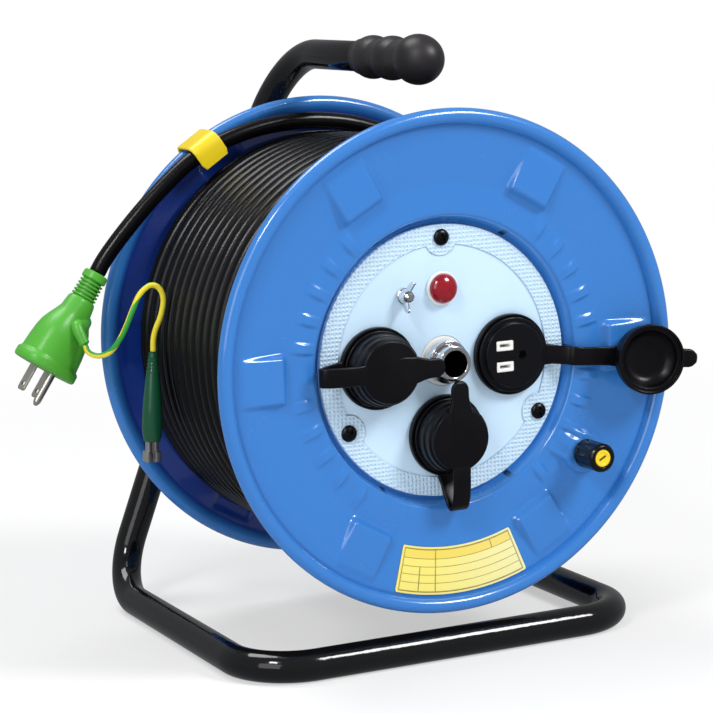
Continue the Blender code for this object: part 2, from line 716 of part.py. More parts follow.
def outlet_panel(parent):
    edge, inner = PANEL_RADIUS, PANEL_RADIUS - PANEL_BAND
    raised = PANEL_DEPTH - PANEL_BAND_RISE
    bore = FRONT_BUSH_RADIUS + CLEAR
    profile = [
        (bore, PANEL_DEPTH), (inner, PANEL_DEPTH), (inner + PANEL_BAND_SLOPE, raised),
        (edge - PANEL_CHAMFER, raised), (edge, raised + PANEL_CHAMFER), (edge, PANEL_BACK),
        (bore, PANEL_BACK),
    ]
    panel = turned("outlet_panel", profile, pale_plastic, parent, steps=DRUM_STEPS)
    limit_front, limit_edge = raised - ROOT, edge - ROOT
    limit = [(0, limit_front), (limit_edge, limit_front), (limit_edge, PANEL_BACK), (0, PANEL_BACK)]
    for angle in PANEL_SCREW_ANGLES:
        ends = [in_plane(angle, PANEL_SCREW_CIRCLE, y) for y in (raised, PANEL_BACK - ROOT)]
        scallop = rod("screw_scallop", SCALLOP_RADIUS, *ends, None, parent, steps=16)
        disc = turned("panel_disc_limit", limit, None, parent, steps=DRUM_STEPS)
        boolean(scallop, disc, "INTERSECT")
        join(panel, scallop)
    holes = [(polar(angle, PANEL_SCREW_CIRCLE), SCREW_SHANK, 12) for angle in PANEL_SCREW_ANGLES]
    holes += [(polar(angle, OUTLET_CIRCLE), OUTLET_NECK, ROUND_STEPS) for angle in OUTLET_ANGLES.values()]
    holes += [(polar(90, LAMP_CIRCLE), LAMP_BARREL, 20), (EARTH_STUD_PLACE, EARTH_STUD_RADIUS, 12)]
    for spot, radius, steps in holes:
        cut(panel, bored("panel_hole", radius + CLEAR, spot, raised, PANEL_BACK, parent, steps))


def panel_screws(parent):
    seat = PANEL_DEPTH - PANEL_BAND_RISE - CLEAR
    tip = FLOOR_DEPTH + SHEET + SCREW_TIP
    dome = [(0, 1.0), (0.44, 0.92), (0.80, 0.62), (1.0, 0.0)]  # shares of the head's radius and height
    head = [(SCREW_HEAD * across, seat - SCREW_HEAD_HEIGHT * up) for across, up in dome]
    profile = head + [(SCREW_SHANK, seat), (SCREW_SHANK, tip), (0, tip)]
    for i, angle in enumerate(PANEL_SCREW_ANGLES):
        spot = in_plane(angle, PANEL_SCREW_CIRCLE, 0)
        turned(f"panel_screw_{i + 1}", profile, black_screw, parent, spot, steps=12)


def outlet(side, angle, parent):
    """One outlet body with its two slot inserts. The hub lies towards the piece's own -X."""
    centre = in_plane(angle, OUTLET_CIRCLE, 0)
    seat = PANEL_DEPTH - CLEAR
    back = OUTLET_FACE + OUTLET_LENGTH
    profile = [
        (0, OUTLET_FACE), (BOSS_RADIUS, OUTLET_FACE), (BOSS_RADIUS, OUTLET_SHOULDER),
        (OUTLET_RADIUS, OUTLET_SHOULDER), (OUTLET_RADIUS, seat), (OUTLET_NECK, seat),
        (OUTLET_NECK, back), (0, back),
    ]
    body = turned(f"outlet_{side}", profile, black_plastic, parent, centre, steps=ROUND_STEPS)
    holder = empty(f"outlet_{side}_place", centre, parent)
    holder.rotation_euler = (0, -math.radians(angle), 0)
    pocket_size = (INSERT_LENGTH + 2 * CLEAR, 2 * POCKET_DEPTH, INSERT_WIDTH + 2 * CLEAR)
    for row, label in ((1, "a"), (-1, "b")):
        z = row * SLOT_SPACING / 2
        cut(body, box("insert_pocket", pocket_size, (-SLOT_OFFSET, OUTLET_FACE, z), None, holder))
        size = (INSERT_LENGTH, INSERT_DEPTH, INSERT_WIDTH)
        middle = (-SLOT_OFFSET, OUTLET_FACE + INSERT_DEPTH / 2, z)
        insert = box(f"slot_insert_{side}_{label}", size, middle, white_plastic, holder)
        slot = (SLOT_LENGTH, 2 * INSERT_DEPTH, SLOT_WIDTH)
        cut(insert, box("slot", slot, middle, None, holder))
    ends = [(EARTH_OFFSET, OUTLET_FACE + reach, 0) for reach in (-THROUGH, EARTH_HOLE_DEPTH)]
    cut(body, rod("earth_hole", EARTH_HOLE, *ends, None, holder, steps=12))


def cap_angle(side):
    """The direction of a cap's strap about its outlet. The open cap hangs a little to one side."""
    return OUTLET_ANGLES[side] + (OPEN_CAP_TWIST if side == OPEN_CAP else 0)


def cap_hinge(side, parent):
    """The empty on the fold line of one rubber cap. Its own X points away from the outlet's middle."""
    middle = in_plane(OUTLET_ANGLES[side], OUTLET_CIRCLE, HINGE_DEPTH)
    hinge = empty(f"cap_hinge_{side}", middle + in_plane(cap_angle(side), HINGE_REACH, 0), parent)
    opened = math.radians(CAP_OPEN) if side == OPEN_CAP else 0
    hinge.rotation_mode = "QUATERNION"
    turn = Matrix.Rotation(-math.radians(cap_angle(side)), 4, "Y") @ Matrix.Rotation(opened, 4, "Z")
    hinge.rotation_quaternion = turn.to_quaternion()
    return hinge


def strap_limb(name, start, end, thickness, finish, parent):
    """A flat length of strap between two (x, y) points, STRAP_WIDTH wide in Z."""
    along = (Vector(end) - Vector(start)).normalized()
    side = Vector((-along.y, along.x)) * thickness / 2
    corners = []
    for point in (Vector(start), Vector(end)):
        for offset in (side, -side):
            for z in (-STRAP_WIDTH / 2, STRAP_WIDTH / 2):
                corners.append((point.x + offset.x, point.y + offset.y, z))
    return hull(name, corners, finish, parent)


def cap_ring(side, parent):
    """The rubber ring round an outlet's foot, and its half of the strap."""
    seat = PANEL_DEPTH - CLEAR
    inner, front = OUTLET_RADIUS + CLEAR, seat - RING_HEIGHT
    holder = empty(f"cap_ring_{side}_place", in_plane(OUTLET_ANGLES[side], OUTLET_CIRCLE, 0), parent)
    holder.rotation_euler = (0, -math.radians(cap_angle(side)), 0)
    profile = [(RING_RADIUS, seat), (RING_RADIUS, front), (inner, front), (inner, seat)]
    ring = turned(f"cap_ring_{side}", profile, rubber, holder, steps=ROUND_STEPS)
    root = (RING_RADIUS - RING_WIDTH / 2, front + STRAP_THICKNESS / 2 + STRAP_INSET)
    elbow = (RING_RADIUS + RING_STRAP_RUN, front - STRAP_THICKNESS / 2)
    fold = (HINGE_REACH - STRAP_CUT, HINGE_DEPTH + STRAP_THICKNESS / 2 + RUN / 2)
    join(ring, strap_limb("ring_strap_root", root, elbow, STRAP_THICKNESS, None, holder))
    join(ring, strap_limb("ring_strap", (elbow[0] - ROOT, elbow[1]), fold, STRAP_THICKNESS, None, holder))


def outlet_cap(side, hinge):
    """A rubber cap as it lies closed, in the hinge's own frame: X away from the outlet's middle."""
    centre = -HINGE_REACH
    rim = OUTLET_SHOULDER - RUN - HINGE_DEPTH
    roof = rim - CAP_HEIGHT
    land = OUTLET_FACE - CLEAR - HINGE_DEPTH
    bowl = CUP_RADIUS - CAP_LAND
    dome = [(0, 0), (0.70, 0.0006), (0.90, 0.0055), (1.0, 0.0085)]  # share of the radius, depth
    profile = [(CAP_RADIUS * share, roof + depth) for share, depth in dome] + [
        (CAP_RADIUS, rim), (CUP_RADIUS, rim), (CUP_RADIUS, land), (bowl, land),
        (bowl, roof + CAP_ROOF + CAP_FILLET), (bowl - CAP_FILLET, roof + CAP_ROOF), (0, roof + CAP_ROOF),
    ]
    cap = turned(f"outlet_cap_{side}", profile, rubber, hinge, (centre, 0, 0), steps=ROUND_STEPS)
    front, back = roof - CAP_BAR, roof + CAP_ROOF - ROOT
    bar = (CAP_BAR_LENGTH, back - front, STRAP_WIDTH)
    middle = (centre, (front + back) / 2, 0)
    join(cap, box("cap_bar", bar, middle, None, hinge, rounding=CAP_BAR_ROUND))
    strap_start = (centre + STRAP_START, front + STRAP_THICKNESS / 2 + STRAP_INSET)
    strap_end = (-STRAP_CUT, -STRAP_THICKNESS / 2 - RUN / 2)
    join(cap, strap_limb("cap_strap", strap_start, strap_end, STRAP_THICKNESS, None, hinge))
    outline = [(centre - TAB_ROOT, side * STRAP_WIDTH / 2) for side in (-1, 1)]
    for angle in (-90, -45, 0, 45, 90):
        x, z = polar(angle, TAB_RADIUS)
        outline.append((centre - TAB_REACH + TAB_RADIUS - x, z))
    tab = []
    for y in (front + STRAP_INSET / 2, front + TAB_THICKNESS):
        tab += [(x, y, z) for x, z in outline]
    join(cap, hull("cap_tab", tab, None, hinge))


def lamp(parent):
    centre = in_plane(90, LAMP_CIRCLE, 0)
    seat = PANEL_DEPTH - CLEAR
    front, back = seat - BEZEL_RISE, seat + LAMP_LENGTH
    bore = LAMP_BARREL - LAMP_WALL
    bezel = [
        (bore, front), (BEZEL_RADIUS - BEZEL_CHAMFER, front), (BEZEL_RADIUS, front + BEZEL_CHAMFER),
        (BEZEL_RADIUS, seat), (LAMP_BARREL, seat), (LAMP_BARREL, back), (bore, back),
    ]
    turned("lamp_bezel", bezel, white_plastic, parent, centre, steps=16)
    foot, neck, lens_back = front - CLEAR, bore - CLEAR, seat + LENS_LENGTH
    dome = [(0, foot - LENS_DOME)]
    for angle in (22, 44, 66, 90):
        turn = math.radians(angle)
        dome.append((LENS_RADIUS * math.sin(turn), foot - LENS_DOME * math.cos(turn)))
    lens = dome + [(neck, foot), (neck, lens_back), (0, lens_back)]
    turned("lamp_lens", lens, red_lens, parent, centre, steps=16)


def earth_terminal(parent, nut_axis):
    x, z = EARTH_STUD_PLACE
    seat = PANEL_DEPTH - CLEAR
    tip, tail = seat - EARTH_STUD_RISE, seat + EARTH_STUD_TAIL
    collar = seat - EARTH_COLLAR_HEIGHT
    stud = [
        (0, tip), (EARTH_STUD_RADIUS, tip + EARTH_STUD_POINT), (EARTH_STUD_RADIUS, collar),
        (EARTH_COLLAR_RADIUS, collar), (EARTH_COLLAR_RADIUS, seat), (EARTH_STUD_RADIUS, seat),
        (EARTH_STUD_RADIUS, tail), (0, tail),
    ]
    turned("earth_stud", stud, chrome, parent, (x, 0, z), steps=12)
    bore = EARTH_STUD_RADIUS + CLEAR
    back = collar - CLEAR
    front, waist = back - WING_NUT_HEIGHT, WING_NUT_RADIUS - WING_NUT_TAPER
    body = [(bore, back), (WING_NUT_RADIUS, back), (waist, front), (bore, front)]
    nut = turned("wing_nut", body, chrome, nut_axis, steps=16)
    half_span = WING_SPAN / 2
    outline = [(waist, rise) for rise in WING_ROOT] + [(half_span, rise) for rise in WING_TIP]
    outline.append((half_span - WING_NUT_TAPER, WING_PEAK))
    for side in (-1, 1):
        wing = []
        for across in (-WING_THICKNESS / 2, WING_THICKNESS / 2):
            wing += [(across, back - rise, side * reach) for reach, rise in outline]
        join(nut, hull("wing", wing, None, nut_axis))


def terminal_block(parent):
    depth = TERMINAL_SIZE[1]
    middle = in_plane(TERMINAL_ANGLE, TERMINAL_CIRCLE, PANEL_BACK + CLEAR + depth / 2)
    turn = (0, -math.radians(TERMINAL_ANGLE), 0)
    box("terminal_block", TERMINAL_SIZE, middle, black_plastic, parent, turn, TERMINAL_ROUND)


# ---------------------------------------------------------------- knob and sticker


def winding_knob(knob_axis, parent):
    """The knob's own Y is its axis, with the front flange's boss behind it."""
    x, z = polar(KNOB_ANGLE, KNOB_CIRCLE)
    back = KNOB_BOSS_DEPTH - RUN
    front = back - KNOB_LENGTH
    bore = KNOB_PIN_RADIUS + CLEAR
    pocket = KNOB_CAP_RADIUS + CLEAR
    head_back = front + KNOB_POCKET
    profile = [
        (bore, back), (KNOB_RADIUS - KNOB_FOOT_CHAMFER, back), (KNOB_RADIUS, back - KNOB_FOOT_CHAMFER),
        (KNOB_RADIUS, front + KNOB_FRONT_CHAMFER), (KNOB_RADIUS - KNOB_FRONT_CHAMFER, front),
        (pocket, front), (pocket, head_back), (bore, head_back),
    ]
    turned("winding_knob", profile, black_plastic, knob_axis, steps=16)
    head, head_front = KNOB_CAP_RADIUS - KNOB_CAP_CHAMFER, head_back - KNOB_PIN_HEAD
    foot = face_depth(KNOB_CIRCLE) + SHEET + KNOB_PIN_SPARE
    foot_back = foot + KNOB_PIN_FOOT
    pin = [
        (0, head_front), (head, head_front), (head, head_back - CLEAR),
        (KNOB_PIN_RADIUS, head_back - CLEAR), (KNOB_PIN_RADIUS, foot), (KNOB_PIN_FOOT_RADIUS, foot),
        (KNOB_PIN_FOOT_RADIUS, foot_back), (0, foot_back),
    ]
    turned("knob_pin", pin, zinc, parent, (x, 0, z), steps=12)
    cap_front, cap_back = front + CLEAR, head_front - CLEAR
    cap = [
        (0, cap_front), (KNOB_CAP_RADIUS - KNOB_CAP_CHAMFER, cap_front),
        (KNOB_CAP_RADIUS, cap_front + KNOB_CAP_CHAMFER), (KNOB_CAP_RADIUS, cap_back), (0, cap_back),
    ]
    turned("knob_cap", cap, yellow_plastic, knob_axis, steps=20)


def sticker(parent):
    """A bare sticker on the sloping face, below the panel."""
    shape = bmesh.new()
    angles = np.linspace(*STICKER_ANGLES, STICKER_STEPS + 1)
    rows = []
    for radius in (STICKER_OUTER - STICKER_HEIGHT, STICKER_OUTER):
        y = face_depth(radius) - CLEAR
        rows.append([shape.verts.new(in_plane(angle, radius, y)) for angle in angles])
    for i in range(STICKER_STEPS):
        shape.faces.new((rows[0][i], rows[1][i], rows[1][i + 1], rows[0][i + 1]))
    label = place(from_bmesh("sticker", shape), sticker_yellow, parent)
    wall = label.modifiers.new("Solidify", "SOLIDIFY")
    wall.thickness = STICKER_THICKNESS
    front_facing = label.data.polygons[0].normal.y < 0
    wall.offset = 1.0 if front_facing else -1.0


# ---------------------------------------------------------------- axle and bearings


def bushes(parent):
    bore = AXLE_RADIUS + CLEAR
    wall, lip = FRONT_BUSH_RADIUS, FRONT_BUSH_RADIUS + BUSH_LIP
    front, back = PANEL_DEPTH, PANEL_BACK + CLEAR
    lip_back, end = back + BUSH_LIP_THICKNESS, back + FRONT_BUSH_LENGTH
    profile = [
        (bore, front), (wall, front), (wall, back), (lip, back), (lip, lip_back), (wall, lip_back),
        (wall, end), (bore, end),
    ]
    turned("front_bush", profile, white_plastic, parent, steps=16)
    outside = DRUM_WIDTH - FLOOR_DEPTH + CLEAR
    inside = DRUM_WIDTH - FLOOR_DEPTH - SHEET - CLEAR
    neck, lip = REAR_HUB_RADIUS - CLEAR, REAR_HUB_RADIUS + BUSH_LIP
    lip_front, end = inside - BUSH_LIP_THICKNESS, inside - REAR_BUSH_LENGTH
    profile = [
        (bore, end), (neck, end), (neck, lip_front), (lip, lip_front), (lip, inside), (neck, inside),
        (neck, outside), (lip, outside), (lip, BUSH_BACK), (bore, BUSH_BACK),
    ]
    turned("rear_bush", profile, black_plastic, parent, steps=16)


def axle(parent):
    profile = [
        (AXLE_BORE, AXLE_FRONT), (AXLE_RADIUS - AXLE_CHAMFER, AXLE_FRONT),
        (AXLE_RADIUS, AXLE_FRONT + AXLE_CHAMFER), (AXLE_RADIUS, AXLE_BACK), (AXLE_BORE, AXLE_BACK),
    ]
    turned("axle_tube", profile, chrome, parent, steps=16)
    bore = AXLE_RADIUS + CLEAR
    back = PANEL_DEPTH - RUN
    front = back - COLLAR_HEIGHT
    across, down = COLLAR_CHAMFER
    profile = [
        (bore, back), (COLLAR_RADIUS, back), (COLLAR_RADIUS, front + down), (COLLAR_RADIUS - across, front),
        (bore, front),
    ]
    turned("hub_collar", profile, chrome, parent, steps=16)
    outer = bore + SPACER_WALL
    front, back = BUSH_BACK + RUN, PLATE_FRONT - CLEAR
    profile = [(bore, front), (outer, front), (outer, back), (bore, back)]
    turned("axle_spacer", profile, zinc, parent, steps=16)
    front = PLATE_FRONT + PLATE_THICKNESS + CLEAR
    back = front + NUT_HEIGHT
    nut = rod("axle_nut", NUT_RADIUS, (0, front, 0), (0, back, 0), zinc, parent, steps=6)
    cut(nut, bored("nut_bore", bore, (0, 0), front, back, parent, 24))


# ---------------------------------------------------------------- stand


def leg_x(height, side):
    """X of a leg's centre line at a height above the axis."""
    floor = TUBE_RADIUS - FOOT_FLAT - AXLE_HEIGHT
    foot = side * STAND_HALF_WIDTH
    if side < 0:
        top_x, top_height = HANDLE_X, HANDLE_HEIGHT
    else:
        top_x, top_height = leg_x(LEG_JOIN_HEIGHT, -1), LEG_JOIN_HEIGHT
    return foot + (top_x - foot) * (height - floor) / (top_height - floor)


def stand_tube(parent):
    """Handle, left leg, floor loop and right leg are one tube. The right leg's swaged end is welded on."""
    floor = TUBE_RADIUS - FOOT_FLAT - AXLE_HEIGHT
    handle_end = GRIP_FRONT + GRIP_END
    join_point = Vector((leg_x(LEG_JOIN_HEIGHT, -1), STAND_BACK, LEG_JOIN_HEIGHT))
    right_foot = Vector((STAND_HALF_WIDTH, STAND_BACK, floor))
    along = (join_point - right_foot).normalized()
    tube_end = join_point - along * SWAGE_LENGTH
    corners = [
        Vector((HANDLE_X, handle_end, HANDLE_HEIGHT)),
        Vector((HANDLE_X, STAND_BACK, HANDLE_HEIGHT)),
        Vector((-STAND_HALF_WIDTH, STAND_BACK, floor)),
        Vector((-STAND_HALF_WIDTH, STAND_FRONT, floor)),
        Vector((STAND_HALF_WIDTH, STAND_FRONT, floor)),
        right_foot,
        tube_end,
    ]
    radii = (HANDLE_BEND, CORNER_BEND, CORNER_BEND, CORNER_BEND, CORNER_BEND)
    path = bent_line(corners, radii, 4)
    stand = meshed(tube("stand_tube", path, TUBE_RADIUS, None, parent, resolution=5), black_paint, parent)
    neck = TUBE_RADIUS - SWAGE_REDUCTION
    swage_start = tube_end - along * SWAGE_LAP
    join(stand, rod("swaged_end", neck, swage_start, join_point, None, parent, steps=12))
    slab = (4 * STAND_HALF_WIDTH, 4 * STAND_BACK, SLAB)
    cut(stand, box("floor_slab", slab, (0, 0, -AXLE_HEIGHT - SLAB / 2), None, parent))
    front, back = STAND_BACK - TUBE_RADIUS, STAND_BACK + TUBE_RADIUS
    for side in (-1, 1):
        hole = bored("bolt_hole", BOLT_RADIUS + CLEAR, (leg_x(0, side), 0), front, back, parent, 16)
        cut(stand, hole)


def grip_radius(y):
    """The grip's radius: the largest of its sleeve, waists and swells, with a blunt front end."""
    bore = TUBE_RADIUS + CLEAR
    front_swell, back_swell = GRIP_SWELLS[-1], GRIP_SWELLS[0]
    if y < front_swell[0]:
        share = (y - front_swell[0]) / (front_swell[0] - GRIP_FRONT)
        return front_swell[1] * math.sqrt(max(1 - share**2, 0.0))
    radius = bore + (GRIP_WAIST_WALL if y < back_swell[0] else GRIP_WALL)
    for middle, swell, half in GRIP_SWELLS:
        share = 1 - ((y - middle) / half) ** 2
        radius = max(radius, swell * math.sqrt(max(share, 0.0)))
    return radius


def hand_grip(parent):
    """A rubber grip over the handle's end, with three swells. Its bore holds the tube."""
    bore = TUBE_RADIUS + CLEAR
    bottom = GRIP_FRONT + GRIP_END - CLEAR
    back = GRIP_SWELLS[0][0] + GRIP_TAIL
    samples = np.linspace(GRIP_FRONT, back, GRIP_SAMPLES)[1:]
    outline = [(0, GRIP_FRONT)] + [(grip_radius(y), float(y)) for y in samples]
    profile = outline + [(bore, back), (bore, bottom), (0, bottom)]
    turned("hand_grip", profile, rubber, parent, (HANDLE_X, 0, HANDLE_HEIGHT), steps=14)


def axle_plate(parent):
    left, right = leg_x(0, -1) - PLATE_MARGIN, leg_x(0, 1) + PLATE_MARGIN
    back = PLATE_FRONT + PLATE_THICKNESS
    middle = ((left + right) / 2, (PLATE_FRONT + back) / 2, 0)
    size = (right - left, PLATE_THICKNESS, 2 * PLATE_HALF_HEIGHT)
    plate = box("axle_plate", size, middle, black_paint, parent)
    cut(plate, bored("axle_hole", AXLE_RADIUS + CLEAR, (0, 0), PLATE_FRONT, back, parent, 24))
    head_back = PLATE_FRONT - CLEAR
    head_front = head_back - BOLT_HEAD_HEIGHT
    nut_front = STAND_BACK + TUBE_RADIUS + CLEAR
    nut_back = nut_front + BOLT_HEAD_HEIGHT
    for side, label in ((-1, "left"), (1, "right")):
        x = leg_x(0, side)
        cut(plate, bored("plate_hole", BOLT_RADIUS + CLEAR, (x, 0), PLATE_FRONT, back, parent, 16))
        ends = (x, head_front, 0), (x, head_back, 0)
        bolt = rod(f"plate_bolt_{label}", BOLT_HEAD, *ends, zinc, parent, 6)
        ends = (x, head_back - ROOT, 0), (x, nut_back + BOLT_TIP, 0)
        join(bolt, rod("bolt_shank", BOLT_RADIUS, *ends, None, parent, 12))
        join(bolt, rod("bolt_nut", BOLT_HEAD, (x, nut_front, 0), (x, nut_back, 0), None, parent, 6))


# ---------------------------------------------------------------- lead end


def free_cord_path():
    """The last turn in its lane, from its tucked-in tail, then the climb, the rim clip and the plug."""
    lane = [in_plane(angle - 360, radius, LANE_Y) for angle, radius in LANE_TAIL]
    turn = [in_plane(angle, LANE_CLIMB[0][1], LANE_Y) for angle in range(108, 318, 15)]
    climb = [in_plane(angle, radius, LANE_Y) for angle, radius in LANE_CLIMB]
    return lane, turn, climb, [Vector((x, LANE_Y, z)) for x, z in FREE_CORD_XZ]


def free_cord(parent):
    tail, turn, climb, lead = free_cord_path()
    points = smooth_path(tail + turn + climb + lead, 6 * CORD_RADIUS)
    tube("free_cord", points, CORD_RADIUS, cord_black, parent)
    print(f"free cord: {len(points)} points, {path_length(points):.3f} m")
    return points[-1]


def path_length(points):
    return sum((b - a).length for a, b in zip(points, points[1:]))


def rim_clip(parent):
    """A yellow clip: a band over the cord, hooked on the rear flange's rolled rim."""
    cord_r = Vector(FREE_CORD_XZ[5]).length
    bead_y, bead_r = DRUM_WIDTH - BEAD, DRUM_RADIUS - BEAD
    cord_gap = CORD_RADIUS + CLEAR
    bead_gap = BEAD + CLIP_SPARE
    section = [(cord_r - CLIP_TONGUE, LANE_Y - cord_gap), (cord_r, LANE_Y - cord_gap)]
    for angle in (135, 110, 90):
        turn = math.radians(angle)
        section.append((cord_r + cord_gap * math.sin(turn), LANE_Y + cord_gap * math.cos(turn)))
    for angle in (80, 45, 10, -25, -60):
        turn = math.radians(angle)
        section.append((bead_r + bead_gap * math.sin(turn), bead_y + bead_gap * math.cos(turn)))
    shape = bmesh.new()
    rows = []
    for side in (-CLIP_WIDTH / 2, CLIP_WIDTH / 2):
        rows.append([shape.verts.new((radius, y, side)) for radius, y in section])
    for i in range(len(section) - 1):
        shape.faces.new((rows[0][i], rows[0][i + 1], rows[1][i + 1], rows[1][i]))
    turn = (0, -math.radians(CLIP_ANGLE), 0)
    clip = place(from_bmesh("rim_clip", shape), yellow_plastic, parent, rotation=turn)
    middle = clip.data.polygons[3]
    outward = middle.normal.x > 0
    wall = clip.modifiers.new("Solidify", "SOLIDIFY")
    wall.thickness = CLIP_THICKNESS
    wall.offset = 1.0 if outward else -1.0


def plug_frame(cord_end):
    """The plug's own axes at the cord's end: Z along the pins, X across the two blades."""
    along = Vector(PLUG_AXIS).normalized()
    across = Vector((0, -1, 0)).cross(along).normalized()
    across.rotate(Matrix.Rotation(math.radians(PLUG_ROLL), 3, along))
    deep = along.cross(across)
    frame = Matrix((across, deep, along)).transposed().to_4x4()
    frame.translation = cord_end + along * CLEAR
    return frame


def lead_boss(frame, parent):
    """The plug's side boss, which the earth lead leaves, from its mouth to a point inside the plug."""
    start, after = Vector(EARTH_LEAD_XYZ[0]), Vector(EARTH_LEAD_XYZ[1])
    run = (after - start).normalized()
    one = run.orthogonal().normalized()
    two = run.cross(one)
    root_radius, mouth_radius = LEAD_BOSS
    mouth = start - run * CLEAR
    corners = [frame @ Vector(LEAD_BOSS_ROOT)]
    for centre, radius in ((mouth, mouth_radius), (mouth - run * LEAD_BOSS_LENGTH, root_radius)):
        for i in range(LEAD_BOSS_STEPS):
            turn = 2 * math.pi * i / LEAD_BOSS_STEPS
            corners.append(centre + (one * math.cos(turn) + two * math.sin(turn)) * radius)
    return hull("lead_boss", corners, None, parent)


def plug(cord_end, parent):
    frame = plug_frame(cord_end)
    rings = []
    for along, half_width, half_depth in PLUG_SECTIONS:
        ring = []
        for i in range(PLUG_STEPS):
            turn = 2 * math.pi * i / PLUG_STEPS
            ring.append(frame @ Vector((half_width * math.cos(turn), half_depth * math.sin(turn), along)))
        rings.append(ring)
    join(loft("plug_body", rings, green_plastic, parent), lead_boss(frame, parent))
    face = PLUG_SECTIONS[-1][0] + CLEAR
    turn = frame.to_euler()
    width, thickness, length = BLADE_SIZE
    hole_along = face + length - BLADE_HOLE_PLACE
    for side, label in ((-1, "a"), (1, "b")):
        x = side * SLOT_SPACING / 2
        middle = frame @ Vector((x, -BLADE_DROP, face + length / 2))
        blade = box(f"plug_blade_{label}", (thickness, width, length), middle, nickel, parent, turn)
        ends = [frame @ Vector((x + reach, -BLADE_DROP, hole_along)) for reach in (-thickness, thickness)]
        cut(blade, rod("blade_hole", BLADE_HOLE, *ends, None, parent, steps=12))
    tip = face + EARTH_PIN_LENGTH
    pin = [(0, face), (EARTH_PIN_RADIUS, face)] + [(radius, tip - back) for radius, back in EARTH_PIN_POINT]
    foot = frame @ Vector((0, EARTH_PIN_PLACE, 0))
    turned("plug_earth_pin", pin + [(0, tip)], nickel, parent, foot, turn, steps=12)


def earth_lead(parent):
    points = smooth_path(EARTH_LEAD_XYZ, 4 * LEAD_RADIUS)
    tube("earth_lead", points, LEAD_RADIUS, lead_green, parent)
    print(f"earth lead: {len(points)} points, {path_length(points):.3f} m")
    run = (points[-1] - points[-2]).normalized()
    top = points[-1] + run * CLEAR
    turn = run.to_track_quat("Z", "Y").to_euler()
    boot = [(radius, share * BOOT_LENGTH) for share, radius in BOOT_SECTIONS]
    turned("earth_boot", [(0, 0)] + boot + [(0, BOOT_LENGTH)], boot_green, parent, top, turn, steps=12)
    width, _, length = JAW_SIZE
    heel = top + run * (BOOT_LENGTH + CLEAR)
    jaws = box("earth_clip", JAW_SIZE, heel + run * length / 2, nickel, parent, turn, JAW_ROUND)
    gap_middle = heel + run * (JAW_HEEL + length / 2 + THROUGH)
    gap = (2 * width, JAW_GAP, length + 2 * THROUGH)
    cut(jaws, box("jaw_gap", gap, gap_middle, None, parent, turn))


# ---------------------------------------------------------------- assembly


LEAD_END = (
    "free_cord", "rim_clip", "plug_body", "plug_blade_a", "plug_blade_b", "plug_earth_pin",
    "earth_lead", "earth_boot", "earth_clip",
)


def place_on_floor(datum):
    """Moves the datum so that the origin lies on the floor, under the middle of the stand and drum."""
    bpy.context.view_layer.update()
    graph = bpy.context.evaluated_depsgraph_get()
    low, high = Vector((1e9,) * 3), Vector((-1e9,) * 3)
    for obj in reel.objects:
        if obj.type == "EMPTY" or obj.name in LEAD_END:
            continue
        seen = obj.evaluated_get(graph)
        for vertex in seen.to_mesh().vertices:
            point = seen.matrix_world @ vertex.co
            low = Vector(map(min, low, point))
            high = Vector(map(max, high, point))
    datum.location = (-(low.x + high.x) / 2, -(low.y + high.y) / 2, -low.z)
    bpy.context.view_layer.update()


clear_scene()
reel = collection("extension_cord_reel")
cutters = collection("cutters")

blue_paint = material("blue_paint", (0.055, 0.235, 0.640), 0.25)
pale_plastic = material("pale_blue_plastic", (0.600, 0.790, 0.900), 0.45)
black_paint = material("black_paint", (0.012, 0.012, 0.014), 0.22)
black_plastic = material("black_plastic", (0.015, 0.015, 0.018), 0.40)
black_screw = material("black_screw", (0.020, 0.020, 0.022), 0.30, 0.6)
rubber = material("black_rubber", (0.016, 0.015, 0.017), 0.55)
cord_black = material("cord_black", (0.013, 0.012, 0.013), 0.40)
white_plastic = material("white_plastic", (0.850, 0.850, 0.820), 0.40)
yellow_plastic = material("yellow_plastic", (0.900, 0.720, 0.010), 0.40)
sticker_yellow = material("sticker_yellow", (0.860, 0.780, 0.220), 0.45)
green_plastic = material("green_plastic", (0.110, 0.520, 0.080), 0.40)
boot_green = material("boot_green", (0.010, 0.090, 0.040), 0.30)
lead_green = material("lead_green", (0.250, 0.480, 0.040), 0.40)
red_lens = material("red_lens", (0.450, 0.005, 0.010), 0.08)
chrome = material("chrome", (0.750, 0.750, 0.760), 0.12, 1.0)
zinc = material("zinc_plate", (0.560, 0.570, 0.580), 0.35, 1.0)
nickel = material("nickel_plate", (0.620, 0.600, 0.560), 0.25, 1.0)

reel_datum = empty("reel_datum", (0, 0, 0))
drum_axis = empty("drum_axis", (0, 0, 0), reel_datum)
knob_place = in_plane(KNOB_ANGLE, KNOB_CIRCLE, 0)
knob_spindle = empty("knob_spindle", knob_place, drum_axis)
nut_spindle = empty("nut_spindle", (EARTH_STUD_PLACE[0], 0, EARTH_STUD_PLACE[1]), drum_axis)
nut_spindle.rotation_euler = (0, math.radians(14), 0)

